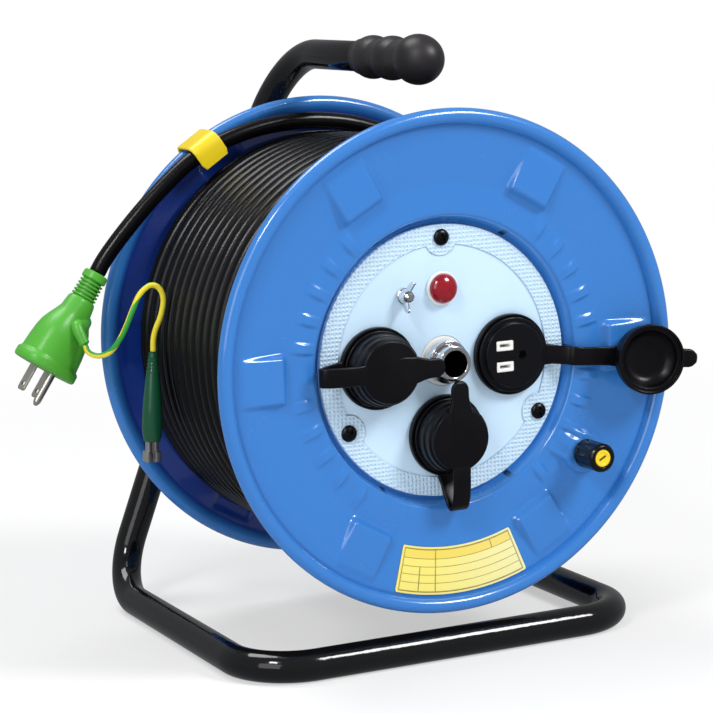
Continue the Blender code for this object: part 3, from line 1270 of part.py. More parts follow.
stand_tube(reel_datum)
hand_grip(reel_datum)
axle_plate(reel_datum)
axle(reel_datum)
bushes(drum_axis)
front_flange(drum_axis)
rear_flange(drum_axis)
drum_barrel(drum_axis)
tie_rods(drum_axis)
winding(drum_axis)
outlet_panel(drum_axis)
panel_screws(drum_axis)
for outlet_side, outlet_angle in OUTLET_ANGLES.items():
    outlet(outlet_side, outlet_angle, drum_axis)
    cap_ring(outlet_side, drum_axis)
    outlet_cap(outlet_side, cap_hinge(outlet_side, drum_axis))
lamp(drum_axis)
earth_terminal(drum_axis, nut_spindle)
terminal_block(drum_axis)
winding_knob(knob_spindle, drum_axis)
sticker(drum_axis)
plug(free_cord(reel_datum), reel_datum)
rim_clip(reel_datum)
earth_lead(reel_datum)
place_on_floor(reel_datum)
for axis_empty in reel.objects:
    if axis_empty.type == "EMPTY":
        spot = axis_empty.matrix_world.translation
        print(f"{axis_empty.name}: {spot.x:.5f} {spot.y:.5f} {spot.z:.5f}")
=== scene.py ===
# %% [markdown]
# # An extension cord reel
#
# A steel drum full of cord turns on a stand of bent tube. This file dresses the engineering model of the
# reel: every surface you see is worked out here with numpy and put into a mesh, and every finish is a small
# tree of shader nodes. The engineering model, called the frame, gives the places and the moving bodies.

# %% Load the frame
import json
import math

import bmesh
import bpy
import numpy as np
from mathutils import Matrix, Vector


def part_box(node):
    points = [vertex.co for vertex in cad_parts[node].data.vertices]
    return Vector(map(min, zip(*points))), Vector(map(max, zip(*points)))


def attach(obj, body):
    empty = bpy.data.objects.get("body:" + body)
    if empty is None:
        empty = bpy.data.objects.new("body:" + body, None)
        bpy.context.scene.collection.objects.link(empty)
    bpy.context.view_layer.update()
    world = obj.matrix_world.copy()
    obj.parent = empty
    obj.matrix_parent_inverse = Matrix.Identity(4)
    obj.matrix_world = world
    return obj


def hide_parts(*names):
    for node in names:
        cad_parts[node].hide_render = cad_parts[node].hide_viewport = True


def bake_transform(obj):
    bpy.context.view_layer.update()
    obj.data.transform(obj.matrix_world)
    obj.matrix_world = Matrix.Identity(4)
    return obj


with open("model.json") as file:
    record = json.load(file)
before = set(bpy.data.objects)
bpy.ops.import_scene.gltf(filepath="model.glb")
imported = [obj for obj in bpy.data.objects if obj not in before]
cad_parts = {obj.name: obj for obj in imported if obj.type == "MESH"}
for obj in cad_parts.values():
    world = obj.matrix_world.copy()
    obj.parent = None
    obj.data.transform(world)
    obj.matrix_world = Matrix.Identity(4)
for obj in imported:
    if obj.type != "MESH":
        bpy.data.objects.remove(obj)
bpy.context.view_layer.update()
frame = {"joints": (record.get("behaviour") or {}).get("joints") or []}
joints = {joint["name"]: joint for joint in frame["joints"]}
DRUM_AXIS = np.array(joints["drum_spin"]["pos_m"])
print("drum axis:", DRUM_AXIS)

# %% [markdown]
# ## A working space
#
# The reel is easiest to think about from the drum: X to the right, Y from the plane of the front rim towards
# the back, Z up, all in millimetres from the drum's axis. One function turns such points into the frame's
# metres. Nothing is moved afterwards, so every finished object sits at the origin.

# %% From reel millimetres to frame metres
MM = 0.001


def put(points):
    """Reel millimetres to frame metres: scale by 0.001, then add the axis point in the front rim plane."""
    return np.asarray(points, float) * MM + DRUM_AXIS


def reel_box(node):
    """Lowest and highest corner of an engineering node, in reel millimetres."""
    low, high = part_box(node)
    return (np.array(low) - DRUM_AXIS) / MM, (np.array(high) - DRUM_AXIS) / MM


def polar(degrees, radius):
    """(x, z) of a point: radius times the cosine and the sine of the angle."""
    turn = np.radians(degrees)
    return np.array([radius * np.cos(turn), radius * np.sin(turn)])


def wheel(radius, depth, turn):
    """(r cos a, depth, r sin a): points at an angle in radians about the drum's axis."""
    return np.stack(np.broadcast_arrays(radius * np.cos(turn), depth, radius * np.sin(turn)), axis=-1)


def around_once(steps):
    """Angles in radians once round, without the last, which is the first again."""
    return np.linspace(0, 2 * np.pi, steps, endpoint=False)


def unit(vectors):
    """A vector, or each row of an array, made one long."""
    rows = np.asarray(vectors, float)
    return rows / np.linalg.norm(rows, axis=-1, keepdims=True)


rear_rim = reel_box("rear_flange")[1][1]
print("drum width over the rims:", round(float(rear_rim), 1), "mm")

# %% [markdown]
# ## Three ways to make a surface
#
# A **skin** joins a grid of points into quads. A **turned** piece is a profile carried round an axis, like
# work on a lathe. A **swept** piece is a section carried along a path. Corners of a profile are softened
# first, because a real edge always has a small radius, and that radius is what catches the light.

# %% Smooth steps and softened corners
def step(low, high, x):
    """0 below low, 1 above high, and the cubic 3t^2 - 2t^3 between them."""
    t = np.clip((np.asarray(x, float) - low) / (high - low), 0, 1)
    return t * t * (3 - 2 * t)


def window(x, rise, fall):
    """1 between two smooth steps, each given as its (low, high)."""
    return step(*rise, x) * (1 - step(*fall, x))


def soften(points, radius, pieces=4, closed=False):
    """A polyline with each corner replaced by a quadratic curve, (1-t)^2 a + 2t(1-t) p + t^2 b, where a and b
    lie on the two sides at most radius from the corner p. radius is one number or one for each corner."""
    line = np.asarray(points, float)
    radii = np.broadcast_to(np.asarray(radius, float), (len(line),))
    before, after = np.roll(line, 1, axis=0), np.roll(line, -1, axis=0)
    result = []
    t = np.linspace(0, 1, pieces + 1)[:, None]
    for i, (a, p, b, reach) in enumerate(zip(before, line, after, radii)):
        if reach <= 0 or (not closed and i in (0, len(line) - 1)):
            result.append(p[None])
            continue
        back, forth = np.linalg.norm(a - p), np.linalg.norm(b - p)
        start = p + (a - p) * min(reach / back, 0.48)
        end = p + (b - p) * min(reach / forth, 0.48)
        result.append((1 - t) ** 2 * start + 2 * t * (1 - t) * p + t**2 * end)
    return np.vstack(result)


# %% The skin
MERGE_DISTANCE, SHORTEST_EDGE, SHARP_DEGREES = 2e-6, 1e-7, 35


def skin(name, grid, ring=True, ends="open", marks=None, sharp=SHARP_DEGREES):
    """A mesh from a grid of points with shape (rows, columns, 3), in reel millimetres. ring joins the last
    column to the first. ends is open, flat (a face at each end) or loop (the last row joins the first).
    marks gives named point values that materials can read."""
    rows, columns = grid.shape[:2]
    index = np.arange(rows * columns).reshape(rows, columns)
    first, last = index[0].tolist(), index[-1].tolist()
    if ring:
        index = np.hstack([index, index[:, :1]])
    if ends == "loop":
        index = np.vstack([index, index[:1]])
    quads = np.stack([index[:-1, :-1], index[:-1, 1:], index[1:, 1:], index[1:, :-1]], axis=-1)
    faces = quads.reshape(-1, 4).tolist()
    if ends == "flat":
        faces += [first[::-1], last]
    mesh = bpy.data.meshes.new(name)
    mesh.from_pydata(put(grid).reshape(-1, 3), [], faces)
    for key, values in (marks or {}).items():
        layer = mesh.attributes.new(key, "FLOAT", "POINT")
        layer.data.foreach_set("value", np.broadcast_to(values, (rows, columns)).ravel().astype(np.float32))
    return finished(name, mesh, sharp)


def finished(name, mesh, sharp):
    """Closes seams and poles, turns every face outwards and shades it smooth but for its sharp edges."""
    shape = bmesh.new()
    shape.from_mesh(mesh)
    bmesh.ops.remove_doubles(shape, verts=shape.verts, dist=MERGE_DISTANCE)
    bmesh.ops.dissolve_degenerate(shape, edges=shape.edges, dist=SHORTEST_EDGE)
    bmesh.ops.recalc_face_normals(shape, faces=shape.faces)
    shape.to_mesh(mesh)
    shape.free()
    mesh.shade_smooth()
    mesh.set_sharp_from_angle(angle=math.radians(sharp))
    piece = bpy.data.objects.new(name, mesh)
    bpy.context.scene.collection.objects.link(piece)
    return piece


# %% The lathe
def basis(direction, hint=(0, 0, 1)):
    """Three unit vectors as rows: across, along the direction, and the rest of a right-handed set."""
    along = unit(direction)
    across = unit(np.cross(along, hint))
    return np.array([across, along, np.cross(across, along)])


def turned(name, profile, centre=(0, 0, 0), axis=(0, 1, 0), steps=72, sharp=SHARP_DEGREES, reach=None):
    """Each (radius, distance) of the profile becomes a ring: centre + distance * axis + radius * (cos, sin).
    reach may scale the radius by the angle, for hexagons and lobes. A profile that doesn't start and end on
    the axis closes on itself."""
    outline = np.asarray(profile, float)
    angle = around_once(steps)
    rows = basis(axis)
    radius = outline[:, :1] * (np.ones(steps) if reach is None else reach(angle, outline))
    grid = (
        np.asarray(centre, float)
        + radius[..., None] * (np.cos(angle)[:, None] * rows[0] + np.sin(angle)[:, None] * rows[2])
        + outline[:, 1][:, None, None] * rows[1]
    )
    solid = outline[0, 0] == 0 and outline[-1, 0] == 0
    return skin(name, grid, ends="open" if solid else "loop", sharp=sharp)


# %% Paths and sweeps
def smooth_path(points, spacing):
    """Points about this far apart on a Catmull-Rom curve: each span is a cubic that leaves and arrives in the
    direction of the neighbours on either side."""
    knots = np.asarray(points, float)
    knots = np.vstack([2 * knots[0] - knots[1], knots, 2 * knots[-1] - knots[-2]])
    spans = [knots[1][None]]
    for a, b, c, d in zip(knots, knots[1:], knots[2:], knots[3:]):
        count = max(1, round(float(np.linalg.norm(c - b)) / spacing))
        t = (np.arange(1, count + 1) / count)[:, None]
        bend, twist = 2 * a - 5 * b + 4 * c - d, 3 * b - a - 3 * c + d
        spans.append(b + 0.5 * ((c - a) * t + bend * t**2 + twist * t**3))
    return np.vstack(spans)


def path_length(path):
    """The sum of the distances between neighbours."""
    return float(np.linalg.norm(np.diff(path, axis=0), axis=1).sum())


def carried_frames(path, hint):
    """Two vectors across the path at every point. Each pair is the one before, less its part along the path,
    so the section never spins as it travels."""
    along = unit(np.gradient(path, axis=0))
    across = np.empty_like(path)
    current = np.asarray(hint, float)
    for i, run in enumerate(along):
        current = unit(current - run * np.dot(current, run))
        across[i] = current
    return along, across, np.cross(along, across)


def tube(name, path, radius, sides=24, hint=(0, 1, 0), rounding=0.6, sharp=50):
    """A circle of the given radius at every point of a path: point + radius * (cos across + sin other). The
    ends are drawn in by a small rounding. marks carry the distance along, in metres, and the angle round it
    as a cosine and a sine."""
    radius = np.broadcast_to(np.asarray(radius, float), (len(path),))
    along, across, other = carried_frames(path, hint)
    start = np.array([path[0], path[0] + along[0] * rounding])
    end = np.array([path[-1] - along[-1] * rounding, path[-1]])
    line = np.vstack([start, path[1:-1], end])
    first, last = radius[0], radius[-1]
    radius = np.concatenate([[first - rounding, first], radius[1:-1], [last, last - rounding]])
    pick = np.concatenate([[0, 0], np.arange(1, len(path) - 1), [len(path) - 1] * 2])
    angle = around_once(sides)
    ring = np.cos(angle)[:, None] * across[pick][:, None] + np.sin(angle)[:, None] * other[pick][:, None]
    grid = line[:, None] + radius[:, None, None] * ring
    run = np.concatenate([[0], np.cumsum(np.linalg.norm(np.diff(line, axis=0), axis=1))]) * MM
    marks = {"run": run[:, None], "side_cos": np.cos(angle)[None], "side_sin": np.sin(angle)[None]}
    return skin(name, grid, ends="flat", marks=marks, sharp=sharp)


def bent_line(corners, radii, spacing=3.0):
    """A line through corners, each rounded by an arc: start + along * R sin(a) + inward * R (1 - cos(a))."""
    points = [np.asarray(corner, float) for corner in corners]
    path = [points[0][None]]
    for before, corner, after, radius in zip(points, points[1:], points[2:], radii):
        arriving, leaving = unit(corner - before), unit(after - corner)
        turn = math.acos(float(np.clip(np.dot(arriving, leaving), -1, 1)))
        inward = (leaving - arriving * math.cos(turn)) / math.sin(turn)
        start = corner - arriving * radius * math.tan(turn / 2)
        angle = np.linspace(0, turn, max(6, round(radius * turn / spacing)) + 1)[:, None]
        path.append(start + arriving * radius * np.sin(angle) + inward * radius * (1 - np.cos(angle)))
    path.append(points[-1][None])
    return np.vstack(path)


# %% [markdown]
# ## Shader maths as plain expressions
#
# A material is a sum of masks and colours. Wiring nodes by hand hides that sum, so a small class wraps a
# socket: `1 - mask * 0.3` then adds the Math nodes by itself. Every node comes from one method.

# %% Wires and paints
class Wire:
    """A node's output. Adding to it, subtracting from it or multiplying it makes a Math node."""

    def __init__(self, paint, socket):
        self.paint = paint
        self.socket = socket

    def maths(self, operation, first, second=0.0):
        """One Math node on two wires or numbers."""
        return self.paint.node("ShaderNodeMath", {"operation": operation}, {0: first, 1: second})

    def __add__(self, other):
        return self.maths("ADD", self, other)

    def __radd__(self, other):
        return self.maths("ADD", other, self)

    def __sub__(self, other):
        return self.maths("SUBTRACT", self, other)

    def __rsub__(self, other):
        return self.maths("SUBTRACT", other, self)

    def __mul__(self, other):
        return self.maths("MULTIPLY", self, other)

    def __rmul__(self, other):
        return self.maths("MULTIPLY", other, self)

    def absolute(self):
        return self.maths("ABSOLUTE", self)

    def ramp(self, low, high):
        """0 at low and below, 1 at high and above, straight between them."""
        inputs = {"Value": self, "From Min": low, "From Max": high}
        return self.paint.node("ShaderNodeMapRange", {"clamp": True}, inputs)


class Paint:
    """A material under construction, with one method that makes every node."""

    def __init__(self, name):
        self.material = bpy.data.materials.new(name)
        self.material.use_nodes = True
        self.tree = self.material.node_tree
        self.shader = self.tree.nodes["Principled BSDF"]

    def node(self, kind, settings=None, inputs=None, output=0):
        """A node of a kind, with its settings, then the values or wires of its sockets."""
        made = self.tree.nodes.new(kind)
        for key, value in (settings or {}).items():
            setattr(made, key, value)
        for key, value in (inputs or {}).items():
            self.feed(made.inputs[key], value)
        return Wire(self, made.outputs[output])

    def feed(self, socket, value):
        """Links a wire to a socket, or sets a value on it."""
        if isinstance(value, Wire):
            self.tree.links.new(value.socket, socket)
        elif isinstance(value, (tuple, list)) and len(value) == 3 and socket.type == "RGBA":
            socket.default_value = (*value, 1.0)
        else:
            socket.default_value = value

    def place(self):
        """The point's place in the object, in metres."""
        return self.node("ShaderNodeTexCoord", output="Object")

    def mark(self, name):
        """A value that the mesh keeps on its points."""
        return self.node("ShaderNodeAttribute", {"attribute_name": name}, output="Fac")

    def noise(self, scale, detail):
        """Cloudy noise from 0 to 1. scale counts its features in a metre."""
        return self.node("ShaderNodeTexNoise", {}, {"Vector": self.place(), "Scale": scale, "Detail": detail})

    def cells(self, scale):
        """The distance to the nearest of many scattered points."""
        return self.node("ShaderNodeTexVoronoi", {}, {"Vector": self.place(), "Scale": scale})

    def mix(self, share, first, second):
        """The first colour where share is 0, the second where it is 1."""
        return self.node("ShaderNodeMix", {"data_type": "RGBA"}, {0: share, 6: first, 7: second}, output=2)

    def bump(self, height, distance):
        """A normal from a height between 0 and 1, which stands for 0 to distance metres."""
        return self.node("ShaderNodeBump", {}, {"Height": height, "Distance": distance})

    def surface(self, **sockets):
        """Feeds the shader: base_color stands for its socket Base Color, and so on."""
        for key, value in sockets.items():
            self.feed(self.shader.inputs[key.replace("_", " ").title().replace("Ior", "IOR")], value)
        return self.material


def shade(colour, share):
    """A colour times a number, kept below 1."""
    return tuple(min(1.0, channel * share) for channel in colour)


def wear(piece, material, body, slot, *replaced):
    """Gives a piece its finish and its body, and hides what it stands for. Its slot argument is not used."""
    piece.data.materials.clear()
    piece.data.materials.append(material)
    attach(piece, body)
    if replaced:
        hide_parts(*replaced)
    return piece


# %% [markdown]
# ## The camera
#
# A long lens from the left of the front, a little above the drum. The three rows of its rotation come from
# an azimuth, an elevation and a small roll. The aim is a point beside the drum's axis, so no lens shift is
# needed.

# %% Camera
CAMERA_AZIMUTH, CAMERA_ELEVATION, CAMERA_ROLL = np.radians([-25.92, 9.17, -1.67])
CAMERA_DISTANCE = 1457.98
CAMERA_SLIDE = (58.65, -4.6)
SENSOR_WIDTH, LENS = 36, 125.39
level_right = np.array([np.cos(CAMERA_AZIMUTH), np.sin(CAMERA_AZIMUTH), 0])
level_back = np.array([np.sin(CAMERA_AZIMUTH), -np.cos(CAMERA_AZIMUTH), 0])
camera_back = level_back * np.cos(CAMERA_ELEVATION) + np.array([0, 0, np.sin(CAMERA_ELEVATION)])
level_up = np.cross(camera_back, level_right)
camera_right = np.cos(CAMERA_ROLL) * level_right + np.sin(CAMERA_ROLL) * level_up
camera_up = -np.sin(CAMERA_ROLL) * level_right + np.cos(CAMERA_ROLL) * level_up
camera_spot = camera_back * CAMERA_DISTANCE - camera_right * CAMERA_SLIDE[0] - camera_up * CAMERA_SLIDE[1]

camera = bpy.data.objects.new("camera", bpy.data.cameras.new("camera"))
bpy.context.scene.collection.objects.link(camera)
camera.data.sensor_width, camera.data.lens = SENSOR_WIDTH, LENS
placed = np.eye(4)
placed[:3, :3] = np.column_stack([camera_right, camera_up, camera_back])
placed[:3, 3] = put(camera_spot)
camera.matrix_world = Matrix(placed.tolist())
bpy.context.scene.camera = camera
print("camera at", np.round(placed[:3, 3], 3))

# %% [markdown]
# ## The mains cord
#
# Heavy black rubber cord, 10.5 mm thick. Its last turn lies in a lane of its own beside the rear flange,
# then it climbs over the winding, passes under a clip on the rim and ends in the plug. The engineering
# model has the same route, so the points are the same ones; here they are only sampled more finely.

# %% Cord material
def cord_finish():
    """Black rubber with a moulded skin: a fine grain under the gloss, and a little dust in patches."""
    paint = Paint("cord_rubber")
    grain = paint.noise(2600, 3)
    dust = paint.noise(28, 4).ramp(0.56, 0.84)
    colour = paint.mix(dust * 0.4, (0.0026, 0.0024, 0.0030), (0.009, 0.009, 0.009))
    bump = paint.bump(grain + paint.noise(420, 2) * 0.6, 0.00005)
    paint.surface(specular_ior_level=0.26)
    return paint.surface(base_color=colour, roughness=0.18 + grain * 0.05 + dust * 0.10, normal=bump)


cord_rubber = cord_finish()
print("finish:", cord_rubber.name)

# %% The cord's route
CORD_RADIUS = 5.25
LANE_Y = 178.0
LANE_TURN = 123.3
TAIL = [(30, 113.5), (45, 117.0), (60, 120.2), (76, 122.2), (92, LANE_TURN)]
CLIMB = [(330, LANE_TURN), (352, 124.0), (375, 126.2), (398, 128.8)]
LEAD_XZ = [
    (65.8, 113.9), (32.3, 129.4), (-4.7, 135.4), (-38.2, 133.1), (-66.9, 125.8), (-88.6, 115.4),
    (-105.2, 102.8), (-122.2, 87.6), (-138.5, 70.8), (-150.0, 57.4), (-155.8, 48.7),
]
lane_points = [polar(angle - 360, radius) for angle, radius in TAIL]
lane_points += [polar(angle, LANE_TURN) for angle in range(108, 318, 15)]
lane_points += [polar(angle, radius) for angle, radius in CLIMB] + [np.array(point) for point in LEAD_XZ]
cord_path = smooth_path([(x, LANE_Y, z) for x, z in lane_points], 4.0)
cord = tube("mains_cord", cord_path, CORD_RADIUS, sides=32)
wear(cord, cord_rubber, "stand", "cord_black", "free_cord")
print(f"mains cord: {len(cord_path)} points, {path_length(cord_path):.0f} mm")

# %% [markdown]
# ## The earth lead
#
# A thin yellow and green lead leaves the plug's side, dips, rises in a small arch and falls to the boot of
# its clip. The two colours run lengthwise, so the colour reads the angle round the lead, which the tube
# keeps as a cosine and a sine, and not its place in space.

# %% Earth lead
LEAD_RADIUS = 1.75
LEAD_POINTS = [
    (-172.5, 159.0, 7.5), (-171.4, 156.8, 3.2), (-166.8, 153.0, 1.0), (-161.0, 147.0, 3.6),
    (-156.7, 140.0, 12.2), (-153.0, 137.0, 21.0), (-149.0, 136.0, 30.4), (-144.0, 136.0, 39.2),
    (-137.2, 136.0, 44.0), (-131.5, 136.0, 41.8), (-129.0, 136.0, 34.8), (-131.0, 136.0, 25.0),
    (-134.7, 136.0, 17.0), (-136.55, 136.0, 10.8), (-137.1, 136.0, 3.0),
]
LEAD_TURN = 2.3
LEAD_TWISTS = ((0.020, 0.034), (0.054, 0.068))


def lead_finish():
    """Yellow where cos(angle round the lead - turn) is above 0, green below. The lead has half a twist where
    it starts to rise and another near the top of its arch: turn grows by pi between two distances along it."""
    paint = Paint("lead_yellow_green")
    run = paint.mark("run")
    rise, top = LEAD_TWISTS
    turn = (run.ramp(*rise) + run.ramp(*top)) * math.pi + LEAD_TURN
    cosine = paint.node("ShaderNodeMath", {"operation": "COSINE"}, {0: turn})
    sine = paint.node("ShaderNodeMath", {"operation": "SINE"}, {0: turn})
    side = paint.mark("side_cos") * cosine + paint.mark("side_sin") * sine
    stripe = side.ramp(-0.06, 0.06)
    colour = paint.mix(stripe, (0.035, 0.36, 0.045), (0.80, 0.66, 0.03))
    grain = paint.noise(1800, 2)
    return paint.surface(base_color=colour, roughness=0.30 + grain * 0.14, normal=paint.bump(grain, 0.00004))


lead_path = smooth_path(LEAD_POINTS, 1.6)
lead = tube("lead_to_clip", lead_path, LEAD_RADIUS, sides=20, rounding=0.3, hint=(0, 0, 1))
wear(lead, lead_finish(), "stand", "lead_green", "earth_lead")
print(f"earth lead: {len(lead_path)} points, {path_length(lead_path):.0f} mm")

# %% [markdown]
# ## The winding
#
# Thirteen turns of cord lie side by side over the layers below. One tube follows a helix:
# (R cos a, y0 + pitch * turn, R sin a). Each end leans in towards the layer below within a sixth of a turn.
# Under it, a turned core with a wavy profile shows the tops of the lower layer between the turns.

# %% The outer layer
WINDING_RADIUS, WINDING_PITCH, WINDING_TURNS, WINDING_START = 123.5, 11.1, 13, 60.0
WINDING_LAST = LANE_Y - WINDING_PITCH
WINDING_FIRST = WINDING_LAST - WINDING_TURNS * WINDING_PITCH


def winding_path(points_per_turn=96, dive=8.2, share=0.14):
    """A helix whose radius drops by dive over the first and last share of a turn, as (1 + cos) / 2. Its turns
    wander by 0.22 mm, out of step with the angle."""
    turn = np.linspace(0, WINDING_TURNS, WINDING_TURNS * points_per_turn + 1)
    from_end = np.minimum(turn, WINDING_TURNS - turn)
    drop = dive * 0.5 * (1 + np.cos(np.pi * np.clip(from_end / share, 0, 1)))
    wander = 0.22 * np.sin(turn * 2 * np.pi * 0.83) * step(0, 1, from_end)
    angle = np.radians(WINDING_START - 360 * turn)
    radius = WINDING_RADIUS - drop
    y = WINDING_FIRST + WINDING_PITCH * turn + wander
    return np.column_stack([radius * np.cos(angle), y, radius * np.sin(angle)])


turns_path = winding_path()
turns = tube("cord_turns", turns_path, CORD_RADIUS, sides=20)
wear(turns, cord_rubber, "drum", "cord_black", "winding_turns")
print(f"winding: {WINDING_TURNS} turns, {path_length(turns_path) * MM:.2f} m in the outer layer")

# %% The layers below
BARREL_INNER, LOWER_LAYER, CORE_END_GAP = 97.8, 111.2, 11.5
LANE_BED, LANE_SWELL = 104.0, 6.2
core_y = np.linspace(WINDING_FIRST - CORD_RADIUS + 0.4, WINDING_LAST + CORD_RADIUS - 0.4, 240)
core_wave = (((core_y - WINDING_FIRST) / WINDING_PITCH) % 1.0 - 0.5) * WINDING_PITCH
core_radius = LOWER_LAYER + np.sqrt(np.clip(CORD_RADIUS**2 - core_wave**2, 0.4, None))
core_back = rear_rim - CORE_END_GAP
lane_y = np.linspace(WINDING_LAST + CORD_RADIUS + 0.2, core_back, 24)
lane_radius = LANE_BED + 0.7 * np.sqrt(np.clip(LANE_SWELL**2 - (lane_y - LANE_Y - 1.0) ** 2, 0, None))
core_profile = [(BARREL_INNER, core_y[0]), *zip(core_radius, core_y), *zip(lane_radius, lane_y)]
core_profile += [(BARREL_INNER, core_back)]
core = turned("cord_layers_below", core_profile, steps=120, sharp=40)
wear(core, cord_rubber, "drum", "cord_black", "winding_core")
print("layers below:", round(float(core_radius.max()), 1), "mm at their tops")

# %% [markdown]
# ## The flanges
#
# Each flange is one disc of sheet steel, pressed in a die: a sunk floor, a flat band with short radial ribs,
# a sloping face with six pads, and a rim rolled into a round bead. As a surface it is a radius and a depth
# on a grid: the section gives both along its length, and the pressed shapes change the depth with the angle.

# %% Blue enamel
FLANGE_BLUE, BARREL_BLUE = (0.034, 0.195, 0.580), (0.014, 0.070, 0.320)
# Two colours of painted shade: a deeper blue for the side towards the cord, near black for the notches.
INNER_SHADE_BLUE, NOTCH_SHADE_BLUE = (0.007, 0.032, 0.230), (0.004, 0.010, 0.030)


def enamel(name, colour, marked=True):
    """Stoved enamel: faint orange peel, a slow drift of tone, and patches rubbed a little duller. A marked
    piece
    also carries painted shade: a deeper blue on the side towards the cord, and near black on the notches."""
    paint = Paint(name)
    peel = paint.noise(520, 2)
    cloud = paint.noise(7, 2)
    rubbed = paint.noise(34, 3).ramp(0.52, 0.82)
    colour = paint.mix(cloud * 0.4, colour, shade(colour, 0.88))
    if marked:
        # Painted shade: the side towards the cord, which the drum keeps in shadow, is painted a deeper blue.
        colour = paint.mix(paint.mark("inner_shade"), colour, INNER_SHADE_BLUE)
        # Painted shade: the notches at the recess lip are painted nearly black.
        colour = paint.mix(paint.mark("pit"), colour, NOTCH_SHADE_BLUE)
    rough = 0.22 + peel * 0.04 + rubbed * 0.08
    normal = paint.bump(peel, 0.00004)
    paint.surface(coat_roughness=0.03, specular_ior_level=0.45)
    return paint.surface(base_color=colour, roughness=rough, coat_weight=0.80 - rubbed * 0.2, normal=normal)


flange_enamel = enamel("blue_enamel", FLANGE_BLUE)
drum_enamel = enamel("barrel_enamel", BARREL_BLUE, marked=False)
print("finishes:", flange_enamel.name, drum_enamel.name)

# %% The pressed section
RIM_RADIUS, BEAD, SHEET = 150.0, 4.5, 1.2
FLOOR_DEPTH, BAND_DEPTH, FACE_DEPTH = 19.3, 10.0, 5.5
RECESS, RECESS_LIP, BAND_EDGE, FACE_EDGE = 83.6, 87.1, 105.5, 139.5
BEAD_CENTRE = RIM_RADIUS - BEAD
PLAIN_WITHIN, FINE, COARSE = 90, 1.05, 5.0


def flange_section(hole):
    """Front of the sheet from its hole to the bead, as (radius, depth) with softened corners. The rows lie
    closer together where shapes are pressed in."""
    corners = [(hole, FLOOR_DEPTH), (RECESS, FLOOR_DEPTH), (RECESS_LIP, BAND_DEPTH), (BAND_EDGE, BAND_DEPTH)]
    corners += [(FACE_EDGE - 0.4, FACE_DEPTH), (FACE_EDGE + 1.2, FACE_DEPTH + 0.35)]
    line = soften(corners, [0, 1.6, 1.8, 2.5, 0.8, 0], 4)
    spans = []
    for a, b in zip(line, line[1:]):
        spacing = FINE if a[0] > PLAIN_WITHIN else COARSE
        count = max(1, round(float(np.linalg.norm(b - a)) / spacing))
        spans.append(a + (b - a) * np.linspace(0, 1, count + 1)[:-1, None])
    turn = np.radians(np.linspace(168, -112, 16))
    bead = np.column_stack([BEAD_CENTRE + BEAD * np.cos(turn), BEAD - BEAD * np.sin(turn)])
    return np.vstack(spans + [line[-1:]]), bead


# %% Pads, ribs, the knob's boss and the painted shade of the notches
SIXTHS = tuple(range(0, 360, 60))
RIB_ANGLES = tuple(c + o for c in (30, 150, 210, 330) for o in (-20, -10, 0, 10, 20) if (c + o) % 60)
PAD_SIDE, PAD_FOOT, PAD_TOP, PAD_DEPTH = (12.0, 16.0), (105.0, 109.5), (133.0, 139.0), 4.9
RIB_SIDE, RIB_FOOT, RIB_TOP, RIB_HEIGHT = (2.0, 4.2), (90.8, 93.0), (100.4, 102.8), 1.6
NOTCH_SIDE, NOTCH_FOOT, NOTCH_TOP = (1.5, 2.1), (82.8, 83.6), (85.0, 85.8)
KNOB_X, KNOB_Z = polar(-35.5, 110.0)
BOSS_SIDE, BOSS_DEPTH = (11.7, 13.6), 4.8


def radial_bar(radius, degrees, middle, side, foot, top):
    """1 on a bar along the radius at the angle middle, from smooth steps in the distance u along it and in
    the sideways distance v."""
    turn = np.radians(degrees) - np.radians(middle)
    u, v = radius * np.cos(turn), radius * np.sin(turn)
    return (1 - step(*side, np.abs(v))) * window(u, foot, top)


def disc_mask(radius, degrees, x, z, side):
    """1 on a round spot about (x, z)."""
    turn = np.radians(degrees)
    return 1 - step(*side, np.hypot(radius * np.cos(turn) - x, radius * np.sin(turn) - z))


def pressed(depth, radius, degrees, knob_boss):
    """Depth of the sheet with its pressed shapes. A pad or a boss pulls the depth towards its own level by
    its mask, and a rib takes its height off."""
    for pad in SIXTHS:
        depth = depth + (PAD_DEPTH - depth) * radial_bar(radius, degrees, pad, PAD_SIDE, PAD_FOOT, PAD_TOP)
    for rib in RIB_ANGLES:
        depth = depth - RIB_HEIGHT * radial_bar(radius, degrees, rib, RIB_SIDE, RIB_FOOT, RIB_TOP)
    if knob_boss:
        depth = depth + (BOSS_DEPTH - depth) * disc_mask(radius, degrees, KNOB_X, KNOB_Z, BOSS_SIDE)
    return depth


def notch_shade_mask(radius, degrees):
    """1 where painted shade stands for the small dark notches at the recess lip, at each 60 degrees; the sheet
    is not cut there.
    """
    mask = 0
    for notch in SIXTHS:
        turn = np.radians(degrees - notch)
        across = 1 - step(*NOTCH_SIDE, np.abs(radius * np.sin(turn)))
        mask = mask + (np.cos(turn) > 0) * across * window(radius, NOTCH_FOOT, NOTCH_TOP)
    return np.clip(mask, 0, 1)


